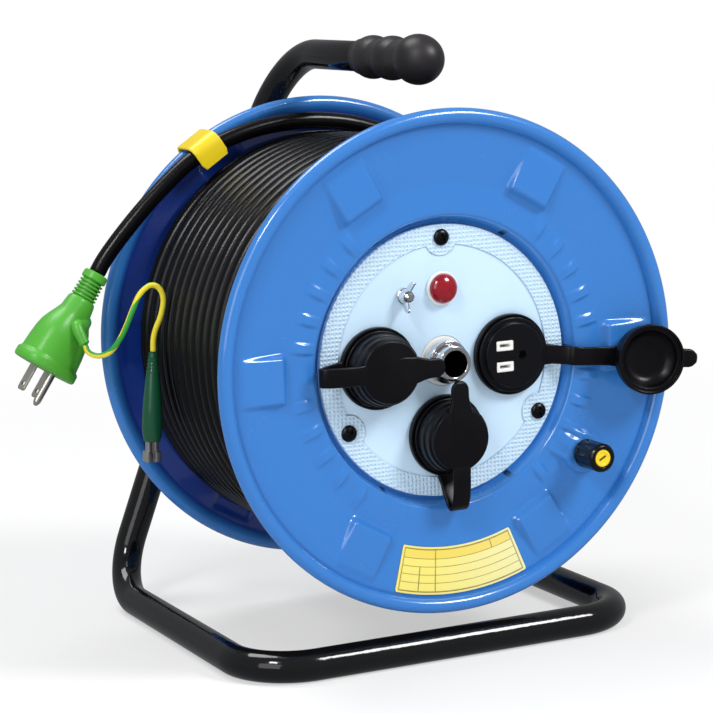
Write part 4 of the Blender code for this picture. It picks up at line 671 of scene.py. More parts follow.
# %% Both flanges
def flange(name, hole, steps, knob_boss, rear):
    """The front of the sheet, the bead and the back as one grid. The rear flange is the mirror image."""
    front, bead = flange_section(hole)
    back = front[::-1]
    degrees = np.linspace(0, 360, steps, endpoint=False)[None]
    radius = np.vstack([front, bead, back])[:, 0][:, None] + 0 * degrees
    sheets = [pressed(part[:, 1:] + 0 * degrees, part[:, :1], degrees, knob_boss) for part in (front, back)]
    depth = np.vstack([sheets[0], bead[:, 1:] + 0 * degrees, sheets[1] + SHEET])
    y = rear_rim - depth if rear else depth
    inside = np.repeat([0.0, 1.0], [len(front) + len(bead), len(back)])[:, None]
    # Point values for painted shade: the notches, and the side towards the cord short of the bead.
    marks = {"pit": notch_shade_mask(radius, degrees), "inner_shade": inside * (1 - step(139, 144, radius))}
    return skin(name, wheel(radius, y, np.radians(degrees)), ends="loop", marks=marks, sharp=60)


for end, hole, steps, rear in (("front", 66.5, 960, False), ("rear", 17.8, 720, True)):
    disc = flange(f"{end}_disc", hole, steps, not rear, rear)
    wear(disc, flange_enamel, "drum", "blue_paint", f"{end}_flange")
    print(disc.name, len(disc.data.polygons), "faces")

# %% [markdown]
# ## The socket panel
#
# A moulded disc of pale blue plastic, sunk into the flange. Its outer band stands 0.8 mm proud and is
# dimpled, and the band swells round each screw. All of that is one depth worked out on a polar grid.

# %% Panel plastic
def plastic(name, colour, rough=0.38, grain=900, depth=0.00004, cloud=0.04, shine=0.5, dimples=False):
    """Moulded plastic: a fine spark-eroded grain, slight clouding of the colour and a few rubbed patches.
    With dimples, a square lattice of small hollows is pressed in wherever the point value band is 1, and
    painted shade darkens the middle of each hollow."""
    paint = Paint(name)
    fine = paint.noise(grain, 3)
    clouds = paint.noise(14, 3)
    rubbed = paint.noise(60, 4).ramp(0.58, 0.76)
    tone = paint.mix(clouds.ramp(0.3, 0.7), shade(colour, 1 - cloud), shade(colour, 1 + cloud))
    normal = paint.bump(fine, depth)
    if dimples:
        upright = {"Vector": paint.place(), "Rotation": (-math.pi / 2, 0, 0)}
        lattice = {"Vector": paint.node("ShaderNodeMapping", {}, upright), "Scale": 400, "Randomness": 0.15}
        hollow = paint.node("ShaderNodeTexVoronoi", {"voronoi_dimensions": "2D"}, lattice).ramp(0.12, 0.46)
        band = paint.mark("band")
        # Painted shade: the middle of each dimple on the band is darkened.
        tone = paint.mix((1 - hollow) * band * 0.30, tone, shade(colour, 0.72))
        normal = paint.bump(fine * 0.1 + hollow * band, 0.0005)
    paint.surface(specular_ior_level=shine)
    return paint.surface(base_color=tone, roughness=rough + fine * 0.08 - rubbed * 0.06, normal=normal)


panel_plastic = plastic("pale_blue_plastic", (0.560, 0.750, 0.930), 0.34, dimples=True)
print("finish:", panel_plastic.name)

# %% The panel
PANEL_FACE, PANEL_BACK, PANEL_HOLE, PANEL_FLAT, PANEL_EDGE = 16.5, 19.0, 15.1, 80.7, 0.7
BAND_STEP, BAND_RISE, SCREW_CIRCLE, SWELL_STEP = (69.25, 69.75), 0.8, 73.7, (10.7, 11.2)
GROOVE_RISE, GROOVE_FALL, GROOVE_DEPTH = (0.01, 0.25), (0.45, 0.8), 0.6
SCREW_ANGLES = (90, 210, 330)


def panel_band(radius, degrees):
    """1 on the raised band and on the round swelling about each screw, 0 on the flat middle."""
    band = step(*BAND_STEP, radius)
    for screw in SCREW_ANGLES:
        band = np.maximum(band, disc_mask(radius, degrees, *polar(screw, SCREW_CIRCLE), SWELL_STEP))
    return band


def panel_piece(steps=840):
    """The face, with a groove where the band rises and a round outer edge, and a flat back."""
    edge_rows = PANEL_FLAT + PANEL_EDGE * np.sin(np.linspace(0, np.pi / 2, 6))
    coarse, fine = np.linspace(18, 60, 9), np.linspace(61.5, 80.3, 44)
    radii = np.concatenate([[PANEL_HOLE, PANEL_HOLE + 0.2], coarse, fine, edge_rows])
    degrees = np.linspace(0, 360, steps, endpoint=False)[None]
    radius = radii[:, None] + 0 * degrees
    band = panel_band(radius, degrees)
    over = np.clip((radius - PANEL_FLAT) / PANEL_EDGE, 0, 1)
    edge = np.sqrt(np.clip(1 - over**2, 0, 1))
    depth = PANEL_FACE - BAND_RISE * band
    depth = depth + GROOVE_DEPTH * window(band, GROOVE_RISE, GROOVE_FALL) + PANEL_EDGE * (1 - edge)
    radius = np.vstack([radius, radius[-1:], radius[:1]])
    depth = np.vstack([depth, np.full((2, steps), PANEL_BACK)])
    band = np.vstack([band, band[-1:], band[:1]])
    grid = wheel(radius, depth, np.radians(degrees))
    return skin("panel_disc", grid, ends="loop", marks={"band": band}, sharp=45)


panel = panel_piece()
wear(panel, panel_plastic, "drum", "pale_plastic", "outlet_panel")
print("panel:", len(panel.data.polygons), "faces")

# %% [markdown]
# ## Outlets
#
# Each outlet is a black round body whose face stands up from a wider foot, with a hole for the earth pin and
# two white slot inserts. The body is turned, and its pockets are cut with Boolean modifiers that are applied
# at once.

# %% A frame for each outlet
OUTLETS = {"right": 0, "left": 180, "lower": 270}
OUTLET_CIRCLE, OUTLET_FACE = 44.5, 8.0


def around(points, degrees):
    """Turns points about the drum's axis: x' = x cos a - z sin a, z' = x sin a + z cos a."""
    spot = np.asarray(points, float)
    turn = np.radians(degrees)
    x = spot[..., 0] * np.cos(turn) - spot[..., 2] * np.sin(turn)
    z = spot[..., 0] * np.sin(turn) + spot[..., 2] * np.cos(turn)
    return np.stack([x, spot[..., 1], z], axis=-1)


def rounded_rectangle(width, height, radius, quarter=6):
    """Corner centres plus radius * (cos, sin), one quarter turn at each corner."""
    angle = np.concatenate([np.linspace(q, q + 90, quarter + 1) for q in (0, 90, 180, 270)])
    quadrant = np.repeat([45, 135, 225, 315], quarter + 1)
    turn, mid = np.radians(angle), np.radians(quadrant)
    x = np.sign(np.cos(mid)) * (width / 2 - radius) + radius * np.cos(turn)
    z = np.sign(np.sin(mid)) * (height / 2 - radius) + radius * np.sin(turn)
    return np.column_stack([x, z])


def carved(piece, *cutters):
    """Cuts pieces out of another and makes the result its mesh."""
    for cutter in cutters:
        carve = piece.modifiers.new("carve", "BOOLEAN")
        carve.operation, carve.object, carve.solver = "DIFFERENCE", cutter, "EXACT"
    bpy.context.view_layer.update()
    graph = bpy.context.evaluated_depsgraph_get()
    mesh = bpy.data.meshes.new_from_object(piece.evaluated_get(graph))
    piece.modifiers.clear()
    piece.data = mesh
    mesh.shade_smooth()
    mesh.set_sharp_from_angle(angle=math.radians(SHARP_DEGREES))
    for cutter in cutters:
        bpy.data.objects.remove(cutter, do_unlink=True)
    return piece


def slab(outline, centre, y):
    """An (x, z) outline set at a centre and a depth."""
    spot = np.asarray(outline) + np.asarray(centre)
    return np.column_stack([spot[:, 0], np.full(len(spot), float(y)), spot[:, 1]])


def lathed(name, corners, radii, pieces, finish, body, slot, *replaced, **shape):
    """A turned piece with softened corners, in its finish. shape goes to turned."""
    line = soften(corners, radii, pieces, closed=corners[0][0] > 0)
    return wear(turned(name, line, **shape), finish, body, slot, *replaced)


# %% Outlet bodies and slot inserts
outlet_plastic = plastic("outlet_plastic", (0.0036, 0.0036, 0.0052), 0.22, 1200, shine=0.22)
insert_plastic = plastic("insert_plastic", (0.80, 0.80, 0.76), 0.32, 1500)
SLOT_ROWS = (6.35, -6.35)
SLOT_X, EARTH_X, EARTH_RADIUS = OUTLET_CIRCLE - 7.0, OUTLET_CIRCLE + 4.9, 2.7
POCKET_WIDTH, POCKET_HEIGHT, POCKET_CORNER = 11.9, 6.4, 0.9
POCKET_ENDS, EARTH_ENDS = (-4.0, 19.0), (-4.0, 28.0)


def outlet_body(side, degrees):
    """The turned body, less two rounded rectangles for the inserts and a round hole."""
    edge = [(0, OUTLET_FACE), (19.6, OUTLET_FACE), (19.6, 10.6), (22.6, 10.6), (22.6, 16.2), (19.8, 16.2)]
    outline = soften([*edge, (19.8, 42.0), (0, 42.0)], [0, 0.9, 0.3, 0.8, 0.2, 0.2, 0.5, 0], 4)
    middle = around((OUTLET_CIRCLE, 0, 0), degrees)
    body = turned(f"outlet_body_{side}", outline, middle, steps=96)
    cutters = []
    for row in SLOT_ROWS:
        ring = rounded_rectangle(POCKET_WIDTH, POCKET_HEIGHT, POCKET_CORNER)
        ends = [around(slab(ring, (SLOT_X, row), y), degrees) for y in POCKET_ENDS]
        cutters.append(skin("pocket", np.stack(ends), ends="flat"))
    turn = around_once(32)
    ring = EARTH_RADIUS * np.column_stack([np.cos(turn), np.sin(turn)])
    ends = [around(slab(ring, (EARTH_X, 0), y), degrees) for y in EARTH_ENDS]
    cutters.append(skin("earth_hole", np.stack(ends), ends="flat"))
    return carved(body, *cutters)


def slot_insert(side, letter, row, degrees):
    """A frame round a slot: six rounded rectangles from the back of its outside over the front edge and back
    down inside the slot."""
    loops = []
    for width, height, corner, y in (
        (11.5, 6.0, 0.8, 18.0), (11.5, 6.0, 0.8, 8.15), (10.9, 5.4, 0.6, 7.85), (7.7, 2.7, 0.5, 7.85),
        (7.0, 2.0, 0.35, 8.25), (7.0, 2.0, 0.35, 17.9),
    ):
        loops.append(around(slab(rounded_rectangle(width, height, corner), (SLOT_X, row), y), degrees))
    return skin(f"slot_{side}_{letter}", np.stack(loops), ends="loop", sharp=50)


for side, degrees in OUTLETS.items():
    body = outlet_body(side, degrees)
    wear(body, outlet_plastic, "drum", "black_plastic", f"outlet_{side}")
    for letter, row in zip("ab", SLOT_ROWS):
        insert = slot_insert(side, letter, row, degrees)
        wear(insert, insert_plastic, "drum", "white_plastic", f"slot_insert_{side}_{letter}")
    print(f"outlet {side}: {len(body.data.polygons)} faces")

# %% [markdown]
# ## Rubber caps
#
# A cap is a stepped dome with a bar across it. The bar ends in a finger tab towards the hub and in a strap
# on the other side. The strap runs to a ring round the outlet's foot, as one strip. Two caps are closed, with
# their straps folded over, and the third hangs open.

# %% Rubber
def rubber(name, colour=(0.0026, 0.0023, 0.0034), rough=0.26, shine=0.22):
    """Moulded rubber: a fine grain, and a faint bloom in clouds that dulls the gloss where it lies."""
    paint = Paint(name)
    grain = paint.noise(1500, 3)
    bloom = paint.noise(45, 4).ramp(0.42, 0.78)
    colour = paint.mix(bloom * 0.5, colour, shade(colour, 2.2))
    paint.surface(specular_ior_level=shine)
    rough = rough + bloom * 0.14 + grain * 0.05
    return paint.surface(base_color=colour, roughness=rough, normal=paint.bump(grain, 0.00005))


cap_rubber = rubber("cap_rubber")
print("finish:", cap_rubber.name)

# %% Where a cap's points go
HINGE_REACH, HINGE_DEPTH = 42.6, 2.2
OPEN_CAP, CAP_OPEN, OPEN_TWIST = "right", 169.5, -5.5


def outlet_place(side, points):
    """Points about an outlet's middle (x along its strap, y depth, z across) to reel millimetres. The open
    cap's strap is twisted a little about its outlet."""
    spot = around(points, OPEN_TWIST if side == OPEN_CAP else 0)
    return around(spot + (OUTLET_CIRCLE, 0, 0), OUTLETS[side])


def opened(points):
    """Points from the fold line, turned with the open cap: x' = x cos a - y sin a, y' = x sin a + y cos a."""
    turn = math.radians(CAP_OPEN)
    x = points[..., 0] * math.cos(turn) - points[..., 1] * math.sin(turn)
    y = points[..., 0] * math.sin(turn) + points[..., 1] * math.cos(turn)
    return np.stack([x, y, points[..., 2]], axis=-1)


def cap_place(side, points):
    """Points of a closed cap (x from the fold, away from the hub, y depth, z across) to reel millimetres."""
    spot = np.asarray(points, float) - (0, HINGE_DEPTH, 0)
    if side == OPEN_CAP:
        spot = opened(spot)
    return outlet_place(side, spot + (HINGE_REACH, HINGE_DEPTH, 0))


# %% Dome
CAP_PROFILE = soften(
    [
        (0, -4.5), (18.4, -4.5), (18.8, -1.5), (20.0, -1.2), (20.3, 3.3), (21.3, 3.7), (21.4, 10.1),
        (19.9, 10.1), (19.9, 7.7), (17.5, 7.7), (17.5, 5.2), (12.5, 0.2), (0, 0.2),
    ],
    [0, 1.2, 0.35, 0.9, 0.35, 0.9, 0.6, 0.5, 0.4, 0.7, 2.5, 3.0, 0],
    5,
)


def cap_dome(side, steps=96):
    """The profile turned about the cap's middle, which lies HINGE_REACH from the fold."""
    grid = wheel(CAP_PROFILE[:, :1], CAP_PROFILE[:, 1:], around_once(steps)) - (HINGE_REACH, 0, 0)
    return skin(f"cap_dome_{side}", cap_place(side, grid), sharp=40)


# %% Bar and tab
def ribbon(name, line, widths, thickness, place, quarter=4):
    """A strip with rounded edges along an (x, y) line: at each point stands a rounded rectangle, square to
    the line, as wide as widths says there."""
    line = np.asarray(line, float)
    along = unit(np.gradient(line, axis=0))
    normal = np.column_stack([-along[:, 1], along[:, 0]])
    thickness = np.broadcast_to(np.asarray(thickness, float), (len(line),))
    loops = []
    for point, out, width, thick in zip(line, normal, widths, thickness):
        ring = rounded_rectangle(width, thick, min(0.45 * thick, 0.45 * width), quarter)
        spot = point + ring[:, 1:] * out
        loops.append(np.column_stack([spot, ring[:, 0]]))
    return skin(name, place(np.stack(loops)), ends="flat", sharp=60)


TAB_REACH, TAB_RADIUS = 35.2, 5.7


def cap_bar(side):
    """The tab and the low bar that it becomes on the dome. The tab's end is round: at a distance d from its
    tip the half width is sqrt(r^2 - (r - d)^2)."""
    tip = TAB_RADIUS * (1 - np.cos(np.linspace(0.12, np.pi / 2, 14)))
    x = np.concatenate([tip - TAB_REACH, np.linspace(TAB_RADIUS - TAB_REACH + 1, -1, 40)])
    half = np.sqrt(np.clip(TAB_RADIUS**2 - np.clip(TAB_RADIUS - (x + TAB_REACH), 0, None) ** 2, 0, None))
    half = half * np.interp(x, [-30, -25, -21, -17, -8, -1], [1.0, 1.02, 1.15, 1.38, 1.5, 1.35])
    thick = np.interp(x, [-35.2, -34, -1], [1.2, 3.0, 3.0])
    front = np.interp(x, [-35.2, -33.5, -22, -9, -1], [-4.4, -5.0, -5.2, -5.1, -4.1])
    line = np.column_stack([x - HINGE_REACH, front + thick / 2])
    return ribbon(f"cap_bar_{side}", line, 2 * half, thick, lambda points: cap_place(side, points))


# %% Strap and ring
def cap_strap(side):
    """The strap from the ring to the bar. A closed cap's strap folds back over itself at the hinge line."""
    knots = [(22.6, 14.2), (27.0, 13.2), (32.0, 11.0), (36.6, 8.0)]
    if side == OPEN_CAP:
        limb = np.array([(-4, -0.6, 0), (-13, -2.5, 0), (-25.0, -4.0, 0)]) - (0, HINGE_DEPTH, 0)
        far = opened(limb)[:, :2] + (HINGE_REACH, HINGE_DEPTH)
        knots += [(40.0, 4.6)] + [tuple(point) for point in far]
    else:
        knots += [(40.6, 4.9), (42.4, 2.2), (40.9, -0.6), (36.6, -2.6)]
        knots += [(30.0, -3.7), (21.0, -4.0), (15.5, -3.2)]
    path = smooth_path([(x, y, 0) for x, y in knots], 0.7)[:, :2]
    width = np.interp(np.linspace(0, 1, len(path)), [0, 0.12, 0.5, 0.9, 1], [13.5, 11.5, 11.3, 11.5, 12.5])
    return ribbon(f"cap_strap_{side}", path, width, 2.3, lambda points: outlet_place(side, points))


def cap_foot(side):
    """The ring round the outlet's foot: a rounded rectangle turned about the outlet's middle."""
    outline = soften([(24.5, 16.2), (24.5, 12.6), (22.9, 12.6), (22.9, 16.2)], 0.6, 4, closed=True)
    return turned(f"cap_foot_{side}", outline, outlet_place(side, (0, 0, 0)), steps=96)


# %% The three caps
for side in OUTLETS:
    dome, bar, strap, foot = cap_dome(side), cap_bar(side), cap_strap(side), cap_foot(side)
    wear(dome, cap_rubber, f"cap_{side}", "rubber", f"outlet_cap_{side}")
    wear(bar, cap_rubber, f"cap_{side}", "rubber")
    wear(foot, cap_rubber, "drum", "rubber", f"cap_ring_{side}")
    strap.data.materials.append(cap_rubber)
    if side == OPEN_CAP:
        ends = [(HINGE_REACH - 5.5, 4, 0), (HINGE_REACH + 5.5, 2, 0)]
    else:
        ends = [(HINGE_REACH, 5.2, 0), (HINGE_REACH, -0.8, 0)]
    first, last = put(outlet_place(side, np.array(ends, float)))
    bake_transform(strap)
    print(f"cap {side}: {sum(len(piece.data.polygons) for piece in (dome, bar, strap, foot))} faces")

# %% [markdown]
# ## Small parts of the panel
#
# A red pilot lamp in a white bezel, an earth stud with a wing nut, three black screws with a cross recess,
# and the bright collar round the hollow axle.

# %% Metal and lens finishes
def metal(name, colour, rough, grain, dulled=0.10):
    """Plated metal: roughness and tone vary in fine grain and in soft clouds of tarnish."""
    paint = Paint(name)
    fine = paint.noise(grain, 3)
    tarnish = paint.noise(70, 4)
    tone = paint.mix(tarnish.ramp(0.35, 0.75) * 0.6, colour, shade(colour, 0.72))
    rough = rough + fine * 0.06 + tarnish.ramp(0.5, 0.8) * dulled
    return paint.surface(base_color=tone, metallic=1.0, roughness=rough, normal=paint.bump(fine, 0.00002))


def red_lens():
    """Deep red plastic with small moulded facets and slow clouds of darker red, under a hard gloss. The facets
    are drawn with painted light, a lighter red towards their edges, and with their own roughness and gloss.
    """
    paint = Paint("ruby_lens")
    clouds = paint.noise(90, 2).ramp(0.35, 0.75)
    facets = paint.cells(700).ramp(0.1, 0.6)
    colour = paint.mix(clouds * 0.6, (0.26, 0.001, 0.008), (0.10, 0.000, 0.002))
    # Painted light: the facets are lighter red towards their edges, where they would catch the light.
    colour = paint.mix(facets * 0.25, colour, (0.42, 0.006, 0.024))
    paint.surface(coat_roughness=0.03)
    return paint.surface(base_color=colour, roughness=0.14 + facets * 0.05, coat_weight=0.5 + facets * 0.1)


chrome = metal("chrome_plate", (0.78, 0.78, 0.79), 0.09, 900)
zinc = metal("zinc_plate", (0.60, 0.61, 0.63), 0.28, 1600, 0.16)
nickel = metal("nickel_plate", (0.80, 0.76, 0.68), 0.26, 1600, 0.14)
screw_black = metal("blackened_steel", (0.030, 0.030, 0.034), 0.26, 1600, 0.12)
ruby = red_lens()
white_moulding = plastic("white_moulding", (0.82, 0.82, 0.80), 0.30, 1400)
for finish in (chrome, zinc, nickel, screw_black, ruby, white_moulding):
    print("finish:", finish.name)

# %% Pilot lamp
LAMP = (0, 0, 43.4)
LENS_RADIUS, LENS_HEIGHT, LENS_FOOT = 9.0, 5.6, 14.1
bezel_line = [(7.4, 14.4), (10.3, 14.4), (10.3, 16.2), (8.6, 16.2), (8.6, 32.2), (7.4, 32.2)]
bezel_bends = [0.3, 0.9, 0.1, 0.1, 0.3, 0.3]
lathed(
    "lamp_ring", bezel_line, bezel_bends, 5, white_moulding, "drum", "white_plastic", "lamp_bezel",
    centre=LAMP, steps=96,
)
arc = np.radians(np.linspace(0, 88, 22))
lens_dome = np.column_stack([LENS_RADIUS * np.sin(arc), LENS_FOOT - LENS_HEIGHT * np.cos(arc)])
lens_back = [(LENS_RADIUS, LENS_FOOT), (7.1, LENS_FOOT), (7.1, 26.2), (0, 26.2)]
lens = turned("lamp_dome", np.vstack([lens_dome, lens_back]), LAMP, steps=96)
wear(lens, ruby, "drum", "red_lens", "lamp_lens")
print("lamp dome stands", LENS_HEIGHT, "mm proud of its foot")

# %% Earth stud and wing nut
STUD = (-25.5, 0, 41.0)
WING_TILT = math.radians(14)


def thread(radius, start, end, pitch, depth):
    """Half profile of a thread: a zigzag between radius and radius - depth."""
    count = int(abs(end - start) / pitch)
    y = np.linspace(start, end, 2 * count + 1)
    return np.column_stack([radius - depth * (np.arange(len(y)) % 2), y])


stud_outline = [(0, 6.2), (1.7, 6.2), *thread(2.5, 6.8, 13.6, 0.7, 0.4), (4.4, 13.8), (4.8, 14.2)]
stud_outline += [(4.8, 16.2), (2.5, 16.2), (2.5, 28.2), (0, 28.2)]
stud = turned("earth_screw", stud_outline, STUD, steps=40, sharp=30)
wear(stud, chrome, "drum", "chrome", "earth_stud")

nut_line = [(2.8, 13.5), (4.6, 13.5), (3.5, 9.0), (2.8, 9.0)]
lathed(
    "wing_nut_hub", nut_line, [0.2, 0.5, 0.6, 0.2], 4, chrome, "wing_nut", "chrome", "wing_nut",
    centre=STUD, steps=48,
)


def nut_wing(name, side):
    """A leaf: its middle line is a quadratic curve out and forward from the hub, and round it stands an
    ellipse whose half breadth follows sin(pi w)^0.55, with w from 0.22 to 1, and whose thickness tapers. The
    pair of leaves is tilted about the stud."""
    u = np.linspace(0.04, 0.995, 26)[:, None]
    foot, knee, tip = np.array([2.2, 11.4]), np.array([6.6, 10.6]), np.array([8.4, 4.8])
    line = (1 - u) ** 2 * foot + 2 * u * (1 - u) * knee + u**2 * tip
    along = unit(np.gradient(line, axis=0))
    normal = np.column_stack([-along[:, 1], along[:, 0]])
    breadth = 2.9 * np.sin(np.pi * (0.22 + 0.78 * u)) ** 0.55 + 0.05
    thick = 1.15 - 0.45 * u
    turn = around_once(24)[None]
    out = side * (line[:, :1] + normal[:, :1] * breadth * np.cos(turn))
    y = line[:, 1:] + normal[:, 1:] * breadth * np.cos(turn)
    x = thick * np.sin(turn)
    across = x * math.cos(WING_TILT) + out * math.sin(WING_TILT)
    up = out * math.cos(WING_TILT) - x * math.sin(WING_TILT)
    return skin(name, np.stack([across, y, up], axis=-1) + np.array(STUD), ends="flat", sharp=50)


for label, side in (("upper", 1), ("lower", -1)):
    wear(nut_wing(f"wing_{label}", side), chrome, "wing_nut", "chrome")
print("wing nut: a hub and two wings")

# %% Panel screws
SCREW_SHANK, CROSS_SIDE, CROSS_DEPTH = 1.8, (0.36, 0.72), 1.35


def cross_screw(name, centre, head, seat, height, turn_degrees, steps=96):
    """A domed head with a cross recess: depth = dome(r) + cut * (1 - smooth step of the distance to a bar)."""
    rounding = np.sin(np.linspace(0.3, 1.57, 5))
    radii = head * np.concatenate([np.linspace(0, 0.93, 26), 0.95 + 0.05 * rounding])
    turn = np.radians(np.linspace(0, 360, steps, endpoint=False)[None])
    radius = radii[:, None] + 0 * turn
    dome = seat - height * np.sqrt(np.clip(1 - (radius / head) ** 2.6, 0, 1))
    own = turn - np.radians(turn_degrees)
    a, b = np.abs(radius * np.cos(own)), np.abs(radius * np.sin(own))
    reach = (head * 0.56 - 0.5, head * 0.56)
    bars = [(1 - step(*CROSS_SIDE, v)) * (1 - step(*reach, u)) for u, v in ((a, b), (b, a))]
    depth = dome + CROSS_DEPTH * np.maximum(*bars) * (1 - radius / head * 0.4)
    radius = np.vstack([radius, np.full((2, steps), SCREW_SHANK), np.zeros((1, steps))])
    depth = np.vstack([depth, np.full((1, steps), seat), np.full((2, steps), seat + 10)])
    return skin(name, wheel(radius, depth, turn) + np.asarray(centre), sharp=40)


for i, angle in enumerate(SCREW_ANGLES):
    x, z = polar(angle, SCREW_CIRCLE)
    screw = cross_screw(f"panel_screw_head_{i + 1}", (x, 0, z), 5.0, 15.4, 2.6, 20 + 37 * i)
    wear(screw, screw_black, "drum", "black_screw", f"panel_screw_{i + 1}")
print("panel screws:", len(SCREW_ANGLES))

# %% Hub collar and axle
collar_line = [(10.8, 16.0), (13.0, 16.0), (13.0, 8.4), (10.8, 8.4)]
collar_bends = [0.1, 0.3, 1.2, 0.3]
lathed("hub_ring", collar_line, collar_bends, 6, chrome, "stand", "chrome", "hub_collar", steps=96)
AXLE_BORE, AXLE_RADIUS, AXLE_FRONT, AXLE_BACK = 8.0, 10.5, 1.0, 248.2
axle_line = [(AXLE_BORE, AXLE_FRONT), (AXLE_RADIUS, AXLE_FRONT)]
axle_line += [(AXLE_RADIUS, AXLE_BACK), (AXLE_BORE, AXLE_BACK)]
lathed("axle_pipe", axle_line, 0.7, 5, chrome, "stand", "chrome", "axle_tube", steps=96)
print("axle:", AXLE_BACK - AXLE_FRONT, "mm long")

# %% [markdown]
# ## Knob and sticker
#
# The winding knob is a ribbed black spool with a recessed yellow cap. Its ribs are a scaling of the radius
# by the angle. The sticker is a bare sector of film; its printed rules are drawn by the material from two
# values on its points, so they bend with it.

# %% Winding knob
KNOB_SPOT = (float(KNOB_X), 0, float(KNOB_Z))
KNOB_HEIGHT, KNOB_BACK, KNOB_RIBS, RIB_SHARE = 21.5, 4.3, 10, 0.045
KNOB_FRONT = KNOB_BACK - KNOB_HEIGHT


def knob_ribs(angle, outline):
    """1 at the ends, and 1 - 0.045 * a rounded square wave of ten ribs along the grip."""
    wave = np.clip(1.6 * np.cos(KNOB_RIBS * angle), -1, 1) * 0.5 + 0.5
    radius, y = outline.T
    grip = (radius > 7.6) & (y > KNOB_FRONT + 2.6) & (y < KNOB_BACK - 3.0)
    return 1 - RIB_SHARE * grip[:, None] * (1 - wave)


knob_line = [(3.3, KNOB_BACK), (7.6, KNOB_BACK), (8.75, KNOB_BACK - 1.4), (8.75, KNOB_BACK - 2.8)]
knob_line += [(8.7, KNOB_BACK - 3.4), (8.7, KNOB_FRONT + 3.0), (8.75, KNOB_FRONT + 2.4)]
knob_line += [(8.75, KNOB_FRONT + 1.6), (7.4, KNOB_FRONT), (5.9, KNOB_FRONT), (5.55, KNOB_FRONT + 0.5)]
knob_line += [(5.55, KNOB_FRONT + 6.0), (3.3, KNOB_FRONT + 6.0)]
knob_bends = [0.2, 0.4, 0.5, 0.1, 0.1, 0.1, 0.1, 0.6, 0.5, 0.4, 0.2, 0.2, 0.2]
knob_plastic = plastic("knob_plastic", (0.0036, 0.0036, 0.0050), 0.18, 1300, shine=0.3)
lathed(
    "knob_spool", knob_line, knob_bends, 3, knob_plastic, "knob", "black_plastic", "winding_knob",
    centre=KNOB_SPOT, steps=160, reach=knob_ribs, sharp=30,
)
print("knob:", KNOB_HEIGHT, "mm tall")

# %% The knob's yellow cap and its pin
YELLOW = (0.83, 0.62, 0.012)
BADGE_FRONT, BADGE_BACK, BADGE_TURN = KNOB_FRONT + 0.5, KNOB_FRONT + 3.7, 0.5


def badge_piece(steps=96):
    """A yellow disc with a raised edge and a slot across its middle, as a depth on rings of points."""
    radii = np.concatenate([np.linspace(0, 5.0, 26), [5.15, 5.25]])
    turn = around_once(steps)[None]
    radius = radii[:, None] + 0 * turn
    a, b = np.abs(radius * np.cos(turn - BADGE_TURN)), np.abs(radius * np.sin(turn - BADGE_TURN))
    slot = (1 - step(0.55, 0.80, b)) * (1 - step(2.3, 2.7, a))
    depth = BADGE_FRONT + 0.35 * (1 - step(3.2, 3.7, radius)) + 0.9 * slot + 0.25 * step(5.0, 5.25, radius)
    radius = np.vstack([radius, radius[-1:], 0 * turn])
    depth = np.vstack([depth, np.full((2, steps), BADGE_BACK)])
    # The slot's mask is kept on the points for its painted shade.
    marks = {"slot": np.vstack([slot, np.zeros((2, steps))])}
    return skin("knob_badge", wheel(radius, depth, turn) + np.array(KNOB_SPOT), marks=marks, sharp=40)


def badge_finish():
    """Yellow plastic, with painted shade darkening the slot."""
    paint = Paint("badge_yellow")
    grain = paint.noise(1300, 2)
    # Painted shade: the slot is darkened to a deep brown where shade falls in it.
    colour = paint.mix(paint.mark("slot") * 0.9, YELLOW, (0.03, 0.025, 0.01))
    return paint.surface(base_color=colour, roughness=0.28 + grain * 0.08, normal=paint.bump(grain, 0.00004))


wear(badge_piece(), badge_finish(), "knob", "yellow_plastic", "knob_cap")
pin_line = [(0, -13.4), (4.6, -13.4), (4.6, -11.6), (3.0, -11.6)]
pin_line += [(3.0, 11.4), (5.0, 11.4), (5.0, 12.4), (0, 12.4)]
pin_bends = [0, 0.3, 0.3, 0.1, 0.1, 0.3, 0.3, 0]
lathed("knob_rivet", pin_line, pin_bends, 3, zinc, "drum", "zinc", "knob_pin", centre=KNOB_SPOT, steps=48)
print("knob cap and pin")

# %% Sticker
STICKER_START, STICKER_SPAN, STICKER_INNER, STICKER_WIDTH = -107.5, 37.5, 111.0, 28.0
STICKER_CORNER = 0.028
HEADER, RULES, COLUMN, BOXES, DATE = 0.25, (0.25, 0.42, 0.59, 0.76), 0.30, 0.17, 0.80


